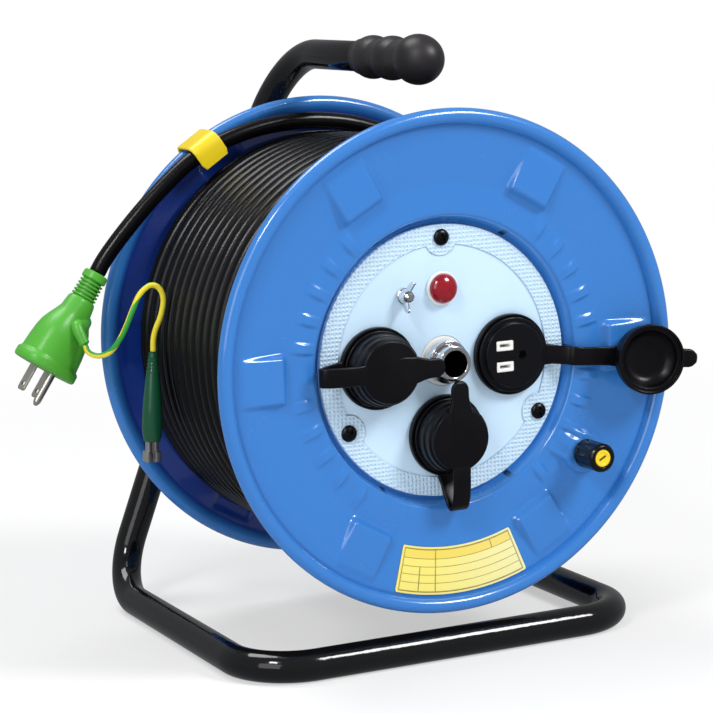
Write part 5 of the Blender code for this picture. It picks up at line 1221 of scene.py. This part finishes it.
def sticker_film():
    """Yellow film with a thin brown border, a deeper header band at the side of the hub, a left column of
    small boxes and wide ruled rows. A printed line is 1 where u or v is within half its width of its place."""
    paint = Paint("sticker_print")
    u, v = paint.mark("label_u"), paint.mark("label_v")

    def line(value, place, width=0.004):
        return 1 - (value - place).absolute().ramp(width * 0.5, width * 0.5 + 0.004)

    def within(value, low, high):
        return value.ramp(low - 0.003, low + 0.003) * (1 - value.ramp(high - 0.003, high + 0.003))

    inside = within(u, 0.026, 0.974) * within(v, 0.07, 0.93)
    border = within(u, 0.018, 0.982) * within(v, 0.04, 0.96) * (1 - inside)
    header = within(u, 0.026, 0.974) * within(v, 0.07, HEADER)
    rules = 0
    for place in RULES:
        rules = rules + line(v, place, 0.010)
    boxes = line(u, BOXES) * within(v, RULES[1], 0.93)
    columns = line(u, COLUMN) + boxes + line(u, DATE) * within(v, 0.07, HEADER)
    ink = (border + (rules + columns) * inside).ramp(0, 1)
    fade = paint.noise(220, 3)
    ink = ink * (0.55 + fade * 0.4)
    film = paint.mix(u.ramp(0.25, 1.0), (0.84, 0.72, 0.15), (0.80, 0.77, 0.40))
    film = paint.mix(header * 0.7, film, (0.80, 0.58, 0.04))
    film = paint.mix(paint.noise(40, 3) * 0.3, film, (0.84, 0.76, 0.26))
    colour = paint.mix(ink, film, (0.13, 0.085, 0.018))
    return paint.surface(base_color=colour, roughness=0.34 + fade * 0.10, normal=paint.bump(fade, 0.00002))


def sticker_piece():
    """A sector with rounded corners. u runs with the angle, v with the radius. The film follows the slope of
    the flange, and its outermost points lie 0.25 mm lower."""
    u = np.concatenate([[0, 0], np.linspace(0, 1, 61), [1, 1]])[None]
    v = np.concatenate([[0], np.linspace(0, 1, 25), [1]])[:, None]
    radius = STICKER_INNER + STICKER_WIDTH * v + 0 * u
    inset = 9 * np.clip(STICKER_CORNER - np.minimum(v, 1 - v), 0, None) ** 2
    angle = STICKER_START + STICKER_SPAN * (u + (0.5 - u) * 2 * inset)
    lift = np.ones(radius.shape)
    lift[[0, -1]] = 0
    lift[:, [0, -1]] = 0
    slope = (FACE_DEPTH - BAND_DEPTH) / (FACE_EDGE - BAND_EDGE)
    depth = BAND_DEPTH + slope * (radius - BAND_EDGE) - 0.25 - 0.25 * lift
    marks = {"label_u": u + 0 * v, "label_v": v + 0 * u}
    grid = wheel(radius, depth, np.radians(angle))
    return skin("sticker_sheet", grid, ring=False, marks=marks, sharp=50)


label = sticker_piece()
wear(label, sticker_film(), "drum", "sticker_yellow", "sticker")
print("sticker:", len(label.data.polygons), "faces")

# %% [markdown]
# ## Handle, stand and axle plate
#
# One tube, bent by hand tools round formers: handle, left leg, floor loop and right leg. The path is made of
# straight runs and true arcs, and it is pressed flat where it stands on the floor. A short swaged length
# enters the weld where the right leg meets the left.

# %% Black gloss paint
def gloss_black():
    """Brushed and stoved black: a long-range ripple, tiny chips and dust that dull it in places."""
    paint = Paint("stand_paint")
    ripple = paint.noise(160, 2)
    dust = paint.noise(36, 4).ramp(0.50, 0.85)
    specks = 1 - paint.cells(240).ramp(0.03, 0.06)
    colour = paint.mix(dust * 0.3, (0.0036, 0.0036, 0.0042), (0.012, 0.012, 0.013))
    colour = paint.mix(specks * dust * 0.5, colour, (0.06, 0.06, 0.06))
    rough = 0.08 + dust * 0.10 + ripple * 0.03
    return paint.surface(base_color=colour, roughness=rough, normal=paint.bump(ripple, 0.00012))


stand_paint = gloss_black()
print("finish:", stand_paint.name)

# %% The bent tube
TUBE_RADIUS, AXLE_HEIGHT, FOOT_FLAT = 9.5, 180.5, 0.3
STAND_FRONT, STAND_BACK, STAND_HALF_WIDTH = 12.6, 245.0, 128.5
HANDLE_X, HANDLE_FRONT, HANDLE_HEIGHT, LEG_JOIN_HEIGHT = 6.0, 40.0, 176.5, 128.0
HANDLE_BEND, FOOT_BEND, SWAGE_RADIUS, SWAGE_LENGTH = 52, 38, 9.0, 30
TUBE_FLOOR = TUBE_RADIUS - FOOT_FLAT - AXLE_HEIGHT


def leg_x(height, side):
    """X of a leg's middle line at a height: straight from its foot to its top."""
    foot = side * STAND_HALF_WIDTH
    if side < 0:
        top_x, top_height = HANDLE_X, HANDLE_HEIGHT
    else:
        top_x, top_height = leg_x(LEG_JOIN_HEIGHT, -1), LEG_JOIN_HEIGHT
    return foot + (top_x - foot) * (height - TUBE_FLOOR) / (top_height - TUBE_FLOOR)


join_point = np.array([leg_x(LEG_JOIN_HEIGHT, -1), STAND_BACK, LEG_JOIN_HEIGHT])
right_foot = np.array([STAND_HALF_WIDTH, STAND_BACK, TUBE_FLOOR])
leg_run = unit(join_point - right_foot)
tube_end = join_point - leg_run * SWAGE_LENGTH
stand_corners = [
    (HANDLE_X, HANDLE_FRONT, HANDLE_HEIGHT), (HANDLE_X, STAND_BACK, HANDLE_HEIGHT),
    (-STAND_HALF_WIDTH, STAND_BACK, TUBE_FLOOR), (-STAND_HALF_WIDTH, STAND_FRONT, TUBE_FLOOR),
    (STAND_HALF_WIDTH, STAND_FRONT, TUBE_FLOOR), right_foot, tube_end,
]
stand_path = bent_line(stand_corners, (HANDLE_BEND, *[FOOT_BEND] * 4), 2.2)
stand = tube("stand_loop", stand_path, TUBE_RADIUS, sides=48, rounding=1.2, hint=(1, 0, 0))
spots = np.empty(len(stand.data.vertices) * 3)
stand.data.vertices.foreach_get("co", spots)
spots[2::3] = np.maximum(spots[2::3], 0)
stand.data.vertices.foreach_set("co", spots)
wear(stand, stand_paint, "stand", "black_paint", "stand_tube")

swage_path = tube_end + leg_run * np.linspace(-1, 21.5, 12)[:, None]
swage = tube("stand_swage", swage_path, SWAGE_RADIUS, sides=48)
wear(swage, stand_paint, "stand", "black_paint")
print(f"stand tube: {path_length(stand_path):.0f} mm of tube")

# %% The weld
BEAD_SIZE, BEAD_SCALLOP, BEAD_DRIFT, BEAD_SCALLOPS = 1.7, 0.45, 0.2, 9.0


def weld_bead(steps=180):
    """A ring of overlapping scallops where the right leg's end meets the left leg's side: each point of the
    end's circle slides along the right leg until its distance from the left leg's line is the tube's
    radius."""
    angle = around_once(steps)
    rows = basis(leg_run, (0, 1, 0))
    left_run = unit([leg_x(LEG_JOIN_HEIGHT, -1) - leg_x(0, -1), 0, LEG_JOIN_HEIGHT])
    circle = np.cos(angle)[:, None] * rows[0] + np.sin(angle)[:, None] * rows[2]
    off = (SWAGE_RADIUS + 0.3) * circle
    sideways = off - (off @ left_run)[:, None] * left_run
    toward = unit(leg_run - np.dot(leg_run, left_run) * left_run)
    depth = sideways @ toward
    rest = sideways - depth[:, None] * toward
    reach = np.sqrt(np.clip(TUBE_RADIUS**2 - np.sum(rest**2, axis=1), 4.0, None))
    slide = (-reach - depth) / np.dot(leg_run, toward)
    middle = join_point + off + slide[:, None] * leg_run
    turn = around_once(16)[:, None, None]
    size = BEAD_SIZE + BEAD_SCALLOP * np.abs(np.sin(angle * BEAD_SCALLOPS)) + BEAD_DRIFT * np.sin(angle * 3 + 1)
    grid = middle + size[:, None] * (np.cos(turn) * circle + np.sin(turn) * leg_run)
    return skin("stand_weld", grid, ends="loop", sharp=60)


weld = weld_bead()
wear(weld, stand_paint, "stand", "black_paint")
print("weld:", len(weld.data.polygons), "faces")

# %% The grip
grip_rubber = rubber("grip_rubber", (0.0130, 0.0110, 0.0130), 0.36, 0.4)
GRIP_FRONT, GRIP_BACK, GRIP_WAIST, GRIP_BORE = 33.0, 123.5, 11.3, 9.8
GRIP_SWELLS = ((110.0, 13.5, 16.5), (84.0, 13.6, 16.0), (50.0, 15.2, 17.2))
NOSE, NOSE_RADIUS = GRIP_SWELLS[-1][:2]


def swell(y, middle, radius, half):
    """radius * sqrt(1 - ((y - middle) / half)^2): an ellipse along the grip."""
    return radius * np.sqrt(np.clip(1 - ((y - middle) / half) ** 2, 0, 1))


def grip_radius(y):
    """The largest of three ellipses and the waist, and an ellipse that closes in front of the last middle."""
    radius = np.full(len(y), GRIP_WAIST)
    for one in GRIP_SWELLS:
        radius = np.maximum(radius, swell(y, *one))
    return np.where(y < NOSE, swell(y, NOSE, NOSE_RADIUS, NOSE - GRIP_FRONT), radius)


nose_y = NOSE - (NOSE - GRIP_FRONT) * np.cos(np.linspace(0, np.pi / 2, 24))
grip_y = np.concatenate([nose_y, np.linspace(NOSE + 0.6, GRIP_BACK, 110)])
grip_r = grip_radius(grip_y)
blurred = np.convolve(np.pad(grip_r, 2, mode="edge"), [0.1, 0.2, 0.4, 0.2, 0.1], mode="valid")
grip_r = np.where(grip_y > NOSE + 2, blurred, grip_r)
grip_r[0] = 0
grip_back = [(GRIP_BORE, GRIP_BACK), (GRIP_BORE, 39.7), (0, 39.7)]
grip_outline = np.vstack([np.column_stack([grip_r, grip_y]), grip_back])
grip = turned("grip_rubber", grip_outline, (HANDLE_X, 0, HANDLE_HEIGHT), steps=96, sharp=50)
wear(grip, grip_rubber, "stand", "rubber", "hand_grip")
print("grip:", GRIP_BACK - GRIP_FRONT, "mm long")

# %% [markdown]
# ## Behind the drum
#
# A flat plate joins the two legs and carries the axle. Two bolts hold it, a big nut holds the axle, and three
# nuts close the rods that pull the flanges together. A nut is a turned piece whose radius follows a hexagon.

# %% Hexagons and holes
def hexagon(angle, outline):
    """Radius of a hexagon, cos 30 / cos(angle from the nearest flat's middle), for the outer points only."""
    shape = math.cos(math.pi / 6) / np.cos((angle % (np.pi / 3)) - np.pi / 6)
    outer = outline[:, :1] >= outline[:, 0].max() * 0.9
    return np.where(outer, shape[None], 1.0)


def nut(name, corner, bore, start, end, centre, body, *replaced):
    """A zinc nut or bolt head. corner is the radius at its corners."""
    outline = [(bore, start), (corner * 0.90, start), (corner, start + corner * 0.07)]
    outline += [(corner, end - corner * 0.07), (corner * 0.90, end), (bore, end)]
    made = turned(name, outline, centre, steps=96, reach=hexagon, sharp=25)
    return wear(made, zinc, body, "zinc", *replaced)


# %% Axle plate
BUSH_BORE = 10.8
PLATE_FRONT, PLATE_BACK, PLATE_HEIGHT, PLATE_CORNER, PLATE_CHAMFER = 231.2, 235.2, 48.0, 7.0, 0.7
plate_left, plate_right = leg_x(0, -1) - 21.0, leg_x(0, 1) + 21.0


def plate_piece():
    """A rounded rectangle in six loops: the hole's edge, the smaller front outline, the full one twice, the
    smaller back outline and the hole again. The hole has one point for each point of the outline, at the
    same angle from the axle."""
    size = np.array([plate_right - plate_left, PLATE_HEIGHT])
    centre = ((plate_left + plate_right) / 2, 0)
    outer = rounded_rectangle(*size, PLATE_CORNER, 12)
    angle = np.arctan2(outer[:, 1], outer[:, 0] + centre[0])
    hole = BUSH_BORE * np.column_stack([np.cos(angle), np.sin(angle)]) - centre
    smaller = outer * (1 - 2 * PLATE_CHAMFER / size)
    depths = (PLATE_FRONT, PLATE_FRONT, PLATE_FRONT + PLATE_CHAMFER)
    depths += (PLATE_BACK - PLATE_CHAMFER, PLATE_BACK, PLATE_BACK)
    outlines = (hole, smaller, outer, outer, smaller, hole)
    loops = [slab(outline, centre, y) for outline, y in zip(outlines, depths)]
    return skin("plate_body", np.stack(loops), ends="loop", sharp=40)


plate = plate_piece()
wear(plate, stand_paint, "stand", "black_paint", "axle_plate")
print("plate:", round(plate_right - plate_left, 1), "mm wide")

# %% Axle nut and bolts
BOLT_CORNER, BOLT_HEAD, BOLT_NUT = 7.5, (225.6, 230.9), (254.8, 260.1)
nut("axle_hex", 18.0, BUSH_BORE, 235.5, 244.5, (0, 0, 0), "stand", "axle_nut")
for label, side in (("left", -1), ("right", 1)):
    spot = (leg_x(0, side), 0, 0)
    shank = [(0, BOLT_HEAD[0]), (4.0, BOLT_HEAD[0]), *thread(4.0, 226.0, 262.4, 0.9, 0.35)]
    shank += [(3.0, 263.1), (0, 263.1)]
    bolt = turned(f"bolt_shank_{label}", shank, spot, steps=40, sharp=30)
    wear(bolt, zinc, "stand", "zinc", f"plate_bolt_{label}")
    nut(f"bolt_head_{label}", BOLT_CORNER, 2.0, *BOLT_HEAD, spot, "stand")
    nut(f"bolt_nut_{label}", BOLT_CORNER, 3.7, *BOLT_NUT, spot, "stand")
print("an axle nut and two bolts")

# %% Spacer and bushes
sleeve_line = [(BUSH_BORE, 181.3), (14.3, 181.3), (14.3, 230.9), (BUSH_BORE, 230.9)]
lathed("axle_sleeve", sleeve_line, 0.5, 4, zinc, "stand", "zinc", "axle_spacer")
bush_black = plastic("bush_nylon", (0.020, 0.020, 0.022), 0.42)
rear_line = [
    (BUSH_BORE, 165.7), (17.5, 165.7), (17.5, 172.7), (21.5, 172.7), (21.5, 175.7), (17.5, 175.7),
    (17.5, 177.5), (21.5, 177.5), (21.5, 180.7), (BUSH_BORE, 180.7),
]
lathed("bush_rear", rear_line, 0.5, 3, bush_black, "drum", "black_plastic", "rear_bush")
front_line = [
    (BUSH_BORE, 16.5), (14.8, 16.5), (14.8, 19.3), (18.8, 19.3), (18.8, 22.3), (14.8, 22.3), (14.8, 31.3),
    (BUSH_BORE, 31.3),
]
lathed("bush_front", front_line, 0.3, 3, white_moulding, "drum", "white_plastic", "front_bush")
print("a sleeve and two bushes")

# %% Tie rods
ROD_ANGLES, ROD_CIRCLE = (30, 150, 270), 76.0
for i, angle in enumerate(ROD_ANGLES):
    x, z = polar(angle, ROD_CIRCLE)
    spot = (x, 0, z)
    rod = [(0, 20.8), (5.8, 20.8), (5.8, 24.8), (3.0, 24.8), *thread(3.0, 160.0, 184.6, 0.9, 0.3), (0, 185.4)]
    wear(turned(f"rod_{i + 1}", rod, spot, steps=36, sharp=30), zinc, "drum", "zinc", f"tie_rod_{i + 1}")
    nut(f"rod_nut_{i + 1}", 5.8, 2.8, 177.5, 182.3, spot, "drum")
print("tie rods:", len(ROD_ANGLES))

# %% [markdown]
# ## Rim clip and plug
#
# The yellow clip is a springy C of plastic strip. It hooks over the rolled rim and holds the cord. The plug
# is a bright green moulding: a grooved collar for the fingers, a neck, and a body that flares to its face.
# It is a loft of sections whose two half widths follow the distance along the plug: ellipses at the collar,
# squared off a little towards the face.

# %% Clip
CLIP_ANGLE, CLIP_WIDTH, CLIP_THICKNESS = 123.4, 20.0, 1.8


def clip_piece():
    """The strip's line of (radius, depth) lies in the plane at CLIP_ANGLE: straight in front of the cord, an
    arc round the cord and an arc over the rolled rim. Its ends are rounded off."""
    cord_r = float(np.hypot(*LEAD_XZ[5]))
    half = CLIP_THICKNESS / 2
    cord_arc, rim_arc = CORD_RADIUS + 0.3 + half, BEAD + 1.1 + half
    line = [(cord_r - 9.5, LANE_Y - cord_arc), (cord_r, LANE_Y - cord_arc)]
    for turn in np.radians(np.linspace(150, 92, 8)):
        line.append((cord_r + cord_arc * np.sin(turn), LANE_Y + cord_arc * np.cos(turn)))
    for turn in np.radians(np.linspace(78, -62, 14)):
        line.append((BEAD_CENTRE + rim_arc * np.sin(turn), rear_rim - BEAD + rim_arc * np.cos(turn)))
    path = smooth_path([(r, y, 0) for r, y in line], 0.8)[:, :2]
    ends = np.minimum(np.arange(len(path)), np.arange(len(path))[::-1])
    width = CLIP_WIDTH - 2.4 * (1 - step(0, 4, ends))
    return ribbon("clip_strip", path, width, CLIP_THICKNESS, lambda points: around(points, CLIP_ANGLE))


clip = clip_piece()
wear(clip, plastic("yellow_plastic", YELLOW, 0.30, 1300), "stand", "yellow_plastic", "rim_clip")
print("clip:", CLIP_WIDTH, "mm wide")

# %% The plug's own axes
PLUG_ROLL, END_GAP = math.radians(-20), 0.3
plug_along = unit([-0.556, 0, -0.831])
plug_start = cord_path[-1] + plug_along * END_GAP
level_across = unit(np.cross((0, -1, 0), plug_along))
plug_across = level_across * math.cos(PLUG_ROLL) + np.cross(plug_along, level_across) * math.sin(PLUG_ROLL)
plug_deep = np.cross(plug_along, plug_across)


def plug_place(points):
    """(across, deep, along) in the plug's own axes to reel millimetres."""
    return plug_start + np.asarray(points, float) @ np.array([plug_across, plug_deep, plug_along])


# %% The plug's moulding
def collar_ridges():
    """Five ridges of 2.4 mm pitch, as (distance, half width, half depth). They widen towards the grip."""
    sections = []
    for i in range(5):
        start, wider = 5.2 + 2.4 * i, 0.16 * i
        for distance, half in ((0.0, 7.3), (0.25, 6.1), (1.05, 6.1), (1.3, 7.5), (2.1, 7.6)):
            sections.append((start + distance, half + wider, half + 0.7 * wider))
    return sections


PLUG_SECTIONS = np.array(
    [(0.0, 7.0, 7.0), (0.8, 7.8, 7.8), (4.6, 8.0, 8.0)]
    + collar_ridges()
    + [
        (17.6, 7.0, 6.7), (18.4, 8.4, 7.9), (20.0, 9.3, 8.6), (27.0, 10.2, 9.2), (31.0, 12.2, 10.4),
        (36.0, 15.0, 12.0), (40.0, 16.7, 13.2), (45.0, 17.8, 14.0), (52.0, 18.7, 14.7), (59.0, 19.3, 15.1),
        (60.4, 19.5, 15.3), (61.4, 20.6, 16.1), (62.4, 21.3, 16.6), (66.4, 21.4, 16.6), (67.6, 20.8, 16.0),
        (68.0, 19.8, 15.2), (68.0, 4.0, 3.0),
    ]
)
HOLLOW_DEPTH, HOLLOW_AT, HOLLOW_REACH = 0.9, 31, 7.0


def plug_grip(steps=96):
    """Superellipses of half width * cos^(2/n) and half depth * sin^(2/n), with n from 2 at the collar to 2.5
    at the face. Two finger hollows, each a bell curve along the plug, are taken out of the broad sides."""
    along = PLUG_SECTIONS[:, :1]
    turn = around_once(steps)
    power = 2 / np.interp(along, [20, 45], [2.0, 2.5])
    x = PLUG_SECTIONS[:, 1:2] * np.sign(np.cos(turn)) * np.abs(np.cos(turn)) ** power
    y = PLUG_SECTIONS[:, 2:3] * np.sign(np.sin(turn)) * np.abs(np.sin(turn)) ** power
    hollow = HOLLOW_DEPTH * np.exp(-(((along - HOLLOW_AT) / HOLLOW_REACH) ** 2)) * np.abs(np.sin(turn)) ** 6
    grid = np.stack(np.broadcast_arrays(x, y - np.sign(y) * hollow, along), axis=-1)
    return skin("plug_moulding", plug_place(grid), ends="flat", sharp=40)


plug_green = plastic("plug_green", (0.085, 0.400, 0.040), 0.30, 1300, 0.00005, shine=0.4)
plug = plug_grip()
wear(plug, plug_green, "stand", "green_plastic", "plug_body")
print("plug:", PLUG_SECTIONS[-1, 0], "mm from the cord's end to its face")

# %% The plug's side outlet
lead_start = np.array(LEAD_POINTS[0])
lead_run = unit(np.array(LEAD_POINTS[1]) - lead_start)
boss_knots = [plug_place((9.5, 0.5, 30)), plug_place((2.0, 9.5, 34.0)), lead_start - lead_run * 12]
boss_path = smooth_path([*boss_knots, lead_start - lead_run * END_GAP], 0.6)
boss_radius = np.interp(np.linspace(0, 1, len(boss_path)), [0, 0.4, 0.7, 1], [5.0, 4.6, 3.8, 3.1])
boss = tube("plug_side_boss", boss_path, boss_radius, sides=36, hint=(0, 0, 1))
wear(boss, plug_green, "stand", "green_plastic")
print(f"side outlet: {path_length(boss_path):.0f} mm along its bend")

# %% Blades and earth pin
PLUG_FACE, BLADE_X, BLADE_Y, PIN_Y = 68.3, 6.35, -2.0, 9.5
BLADE_HOLE_RADIUS, BLADE_HOLE_AT = 1.5, 13.0


def blade(name, side):
    """A flat blade with a chamfered tip: stacked rounded rectangles, thinner over the last 2 mm, less a round
    hole."""
    loops = []
    for wide, thick, along in (
        (6.3, 1.5, 0), (6.3, 1.5, 15.6), (5.9, 1.3, 16.6), (5.0, 0.8, 17.3), (4.4, 0.5, 17.5),
    ):
        ring = rounded_rectangle(thick, wide, 0.24, 4) + (side * BLADE_X, BLADE_Y)
        loops.append(plug_place(np.column_stack([ring, np.full(len(ring), PLUG_FACE + along)])))
    made = skin(name, np.stack(loops), ends="flat")
    turn = around_once(32)
    y = BLADE_HOLE_RADIUS * np.cos(turn) + BLADE_Y
    along = BLADE_HOLE_RADIUS * np.sin(turn) + PLUG_FACE + BLADE_HOLE_AT
    rings = [np.column_stack([np.full(len(turn), side * BLADE_X + x), y, along]) for x in (-3, 3)]
    return carved(made, skin("blade_hole", plug_place(np.stack(rings)), ends="flat"))


for letter, side in (("a", -1), ("b", 1)):
    wear(blade(f"blade_{letter}", side), nickel, "stand", "nickel", f"plug_blade_{letter}")
pin_line = [(0, 0), (2.4, 0), (2.4, 19.6), (0.9, 22.0), (0, 22.0)]
pin_spot = plug_place((0, PIN_Y, PLUG_FACE))
round_pin = turned("earth_pin", soften(pin_line, [0, 0.1, 1.6, 0.5, 0], 6), pin_spot, plug_along, steps=48)
wear(round_pin, nickel, "stand", "nickel", "plug_earth_pin")
print("plug pins: two blades and a round pin")

# %% The boot of the earth clip
BOOT_LENGTH = 55
BOOT = np.array(
    [(0, 2.4), (1.2, 2.75), (8, 3.5), (22, 5.1), (36, 6.15), (46, 6.3), (52, 5.9), (54.4, 5.3), (55, 4.8)]
)
boot_run = unit(lead_path[-1] - lead_path[-2])
boot_top = lead_path[-1] + boot_run * END_GAP
boot_along = np.linspace(0, BOOT_LENGTH, 70)
boot_radius = np.interp(boot_along, BOOT[:, 0], BOOT[:, 1])
boot_radius = np.convolve(np.pad(boot_radius, 3, mode="edge"), np.ones(7) / 7, mode="valid")
boot_radius += 0.25 * np.sin(boot_along * 2 * np.pi / 2.2) * (boot_along > 3) * (boot_along < 12)
boot_outline = np.vstack([[(0, 0)], np.column_stack([boot_radius, boot_along]), [(0, BOOT_LENGTH)]])
boot = turned("clip_boot", boot_outline, boot_top, boot_run, steps=64)
boot_vinyl = plastic("boot_vinyl", (0.008, 0.080, 0.036), 0.16, 500, 0.00005)
wear(boot, boot_vinyl, "stand", "boot_green", "earth_boot")
print("boot:", BOOT_LENGTH, "mm long, with ribs at its top")

# %% The clip's jaws
JAW_LENGTH, JAW_GAP = 12.4, 0.6
jaw_rows = basis(boot_run, (0, 1, 0))


def jaw(name, side, steps=50):
    """Half of the clip's jaws: a bar of rounded rectangles with a narrow neck and a broad end block, cut by
    saw teeth on the inside."""
    loops = []
    for distance in np.linspace(0, JAW_LENGTH, steps):
        broad = float(step(5.6, 6.4, distance))
        tooth = 0.45 * ((distance * 0.75) % 1.0) * broad
        thick = 2.9 + 1.2 * broad - tooth
        ring = rounded_rectangle(5.6 + 3.2 * broad, thick, 0.5, 3)
        offset = side * (JAW_GAP + tooth / 2 + thick / 2)
        spot = boot_top + boot_run * (BOOT_LENGTH + END_GAP + distance)
        loops.append(spot + ring[:, :1] * jaw_rows[2] + (ring[:, 1:] + offset) * jaw_rows[0])
    return skin(name, np.stack(loops), ends="flat", sharp=30)


jaws = [jaw("clip_jaw_a", 1), jaw("clip_jaw_b", -1)]
wear(jaws[0], nickel, "stand", "nickel", "earth_clip")
wear(jaws[1], nickel, "stand", "nickel")
print("boot and jaws:", round(BOOT_LENGTH + END_GAP + JAW_LENGTH, 1), "mm")

put(cord_path[0]).tolist()
put(cord_path).tolist()
put(lead_path[0]).tolist()
put(lead_path).tolist()
print("cords: the mains cord and the earth lead")

# %% [markdown]
# ## Nodes that keep their own shape
#
# The barrel, the grommet and the terminal block sit inside the drum. Their engineering shapes are right, so
# they only get a finish.

# %% Finishes for the carried nodes
kept = {"drum_barrel": drum_enamel, "cable_grommet": cap_rubber, "terminal_block": outlet_plastic}
for name, finish in kept.items():
    node = bpy.data.objects[name]
    node.data.materials.clear()
    node.data.materials.append(finish)
    print("kept:", name)

# %% [markdown]
# ## Light and floor
#
# Four soft lamps, a pale world and one flat sheet of floor. The camera sees the floor brightened towards
# white, and the floor keeps the shadow of the reel.

# %% Floor
FLOOR_REACH = 4.0


def floor_finish():
    """Pale paper. Rays from the camera see it lifted halfway to plain white, and all the way beyond a metre
    from the reel. Glossy rays see a dim grey, so that the floor in front doesn't wash the dark pieces out."""
    paint = Paint("floor_paper")
    paint.surface(base_color=(0.86, 0.86, 0.86), roughness=0.9, specular_ior_level=0.0)
    seen = paint.node("ShaderNodeLightPath", output="Is Camera Ray")
    glossy = paint.node("ShaderNodeLightPath", output="Is Glossy Ray")
    paper = Wire(paint, paint.shader.outputs["BSDF"])
    white = paint.node("ShaderNodeEmission", {}, {"Color": (1.0, 1.0, 1.0)})
    dim = paint.node("ShaderNodeEmission", {}, {"Color": (0.24, 0.25, 0.26)})
    apart = paint.node("ShaderNodeVectorMath", {"operation": "LENGTH"}, {0: paint.place()}, output="Value")
    share = apart.ramp(0.45, 1.05) * 0.5 + 0.5
    lifted = paint.node("ShaderNodeMixShader", {}, {0: seen * share, 1: paper, 2: white})
    both = paint.node("ShaderNodeMixShader", {}, {0: glossy, 1: lifted, 2: dim})
    paint.feed(paint.tree.nodes["Material Output"].inputs["Surface"], both)
    return paint.material


def floor_piece():
    """One flat square sheet under the feet, in frame metres and then in reel millimetres."""
    x, y = np.meshgrid((-FLOOR_REACH, FLOOR_REACH), (-FLOOR_REACH, FLOOR_REACH))
    grid = np.stack([x, y, 0 * x], axis=-1)
    return skin("floor", (grid - DRUM_AXIS) / MM, ring=False)


floor = floor_piece()
floor.data.materials.append(floor_finish())
print("floor:", 2 * FLOOR_REACH, "m square")

# %% World
def studio_world():
    """A dim blue grey for the light that falls on the reel, and white for rays from the camera."""
    world = bpy.data.worlds.new("studio")
    world.use_nodes = True
    tree = world.node_tree
    sky, white = tree.nodes["Background"], tree.nodes.new("ShaderNodeBackground")
    for shader, colour, strength in ((sky, (0.95, 0.97, 1.0, 1), 0.30), (white, (1, 1, 1, 1), 1.0)):
        shader.inputs["Color"].default_value = colour
        shader.inputs["Strength"].default_value = strength
    both = tree.nodes.new("ShaderNodeMixShader")
    rays = tree.nodes.new("ShaderNodeLightPath")
    feeds = (rays.outputs["Is Camera Ray"], sky.outputs[0], white.outputs[0])
    for socket, feed in zip(both.inputs, feeds):
        tree.links.new(feed, socket)
    tree.links.new(both.outputs[0], tree.nodes["World Output"].inputs["Surface"])
    return world


bpy.context.scene.world = studio_world()
print("world:", bpy.context.scene.world.name)

# %% Lamps
def lamp(name, spot, aim, size, power):
    """A square soft light at a spot in reel metres, turned to a point."""
    light = bpy.data.lights.new(name, "AREA")
    light.size, light.energy = size, power
    holder = bpy.data.objects.new(name, light)
    bpy.context.scene.collection.objects.link(holder)
    where = Vector(spot)
    turn = (Vector(aim) - where).to_track_quat("-Z", "Y").to_matrix().to_4x4()
    turn.translation = where
    holder.matrix_world = turn
    return holder


lamp("key", (1.3, -1.7, 2.0), (0, 0, 0.15), 0.8, 52)
lamp("fill", (-2.1, -1.5, 0.9), (0, 0, 0.15), 1.4, 12)
lamp("top", (-0.5, 0.6, 2.1), (0, 0, 0.15), 1.0, 22)
lamp("glint", (-1.6, -1.2, 1.9), (0, 0, 0.18), 0.50, 20)
print("lamps: key, fill, top and glint")

# %% Finish
bpy.context.scene.view_settings.view_transform = "Standard"
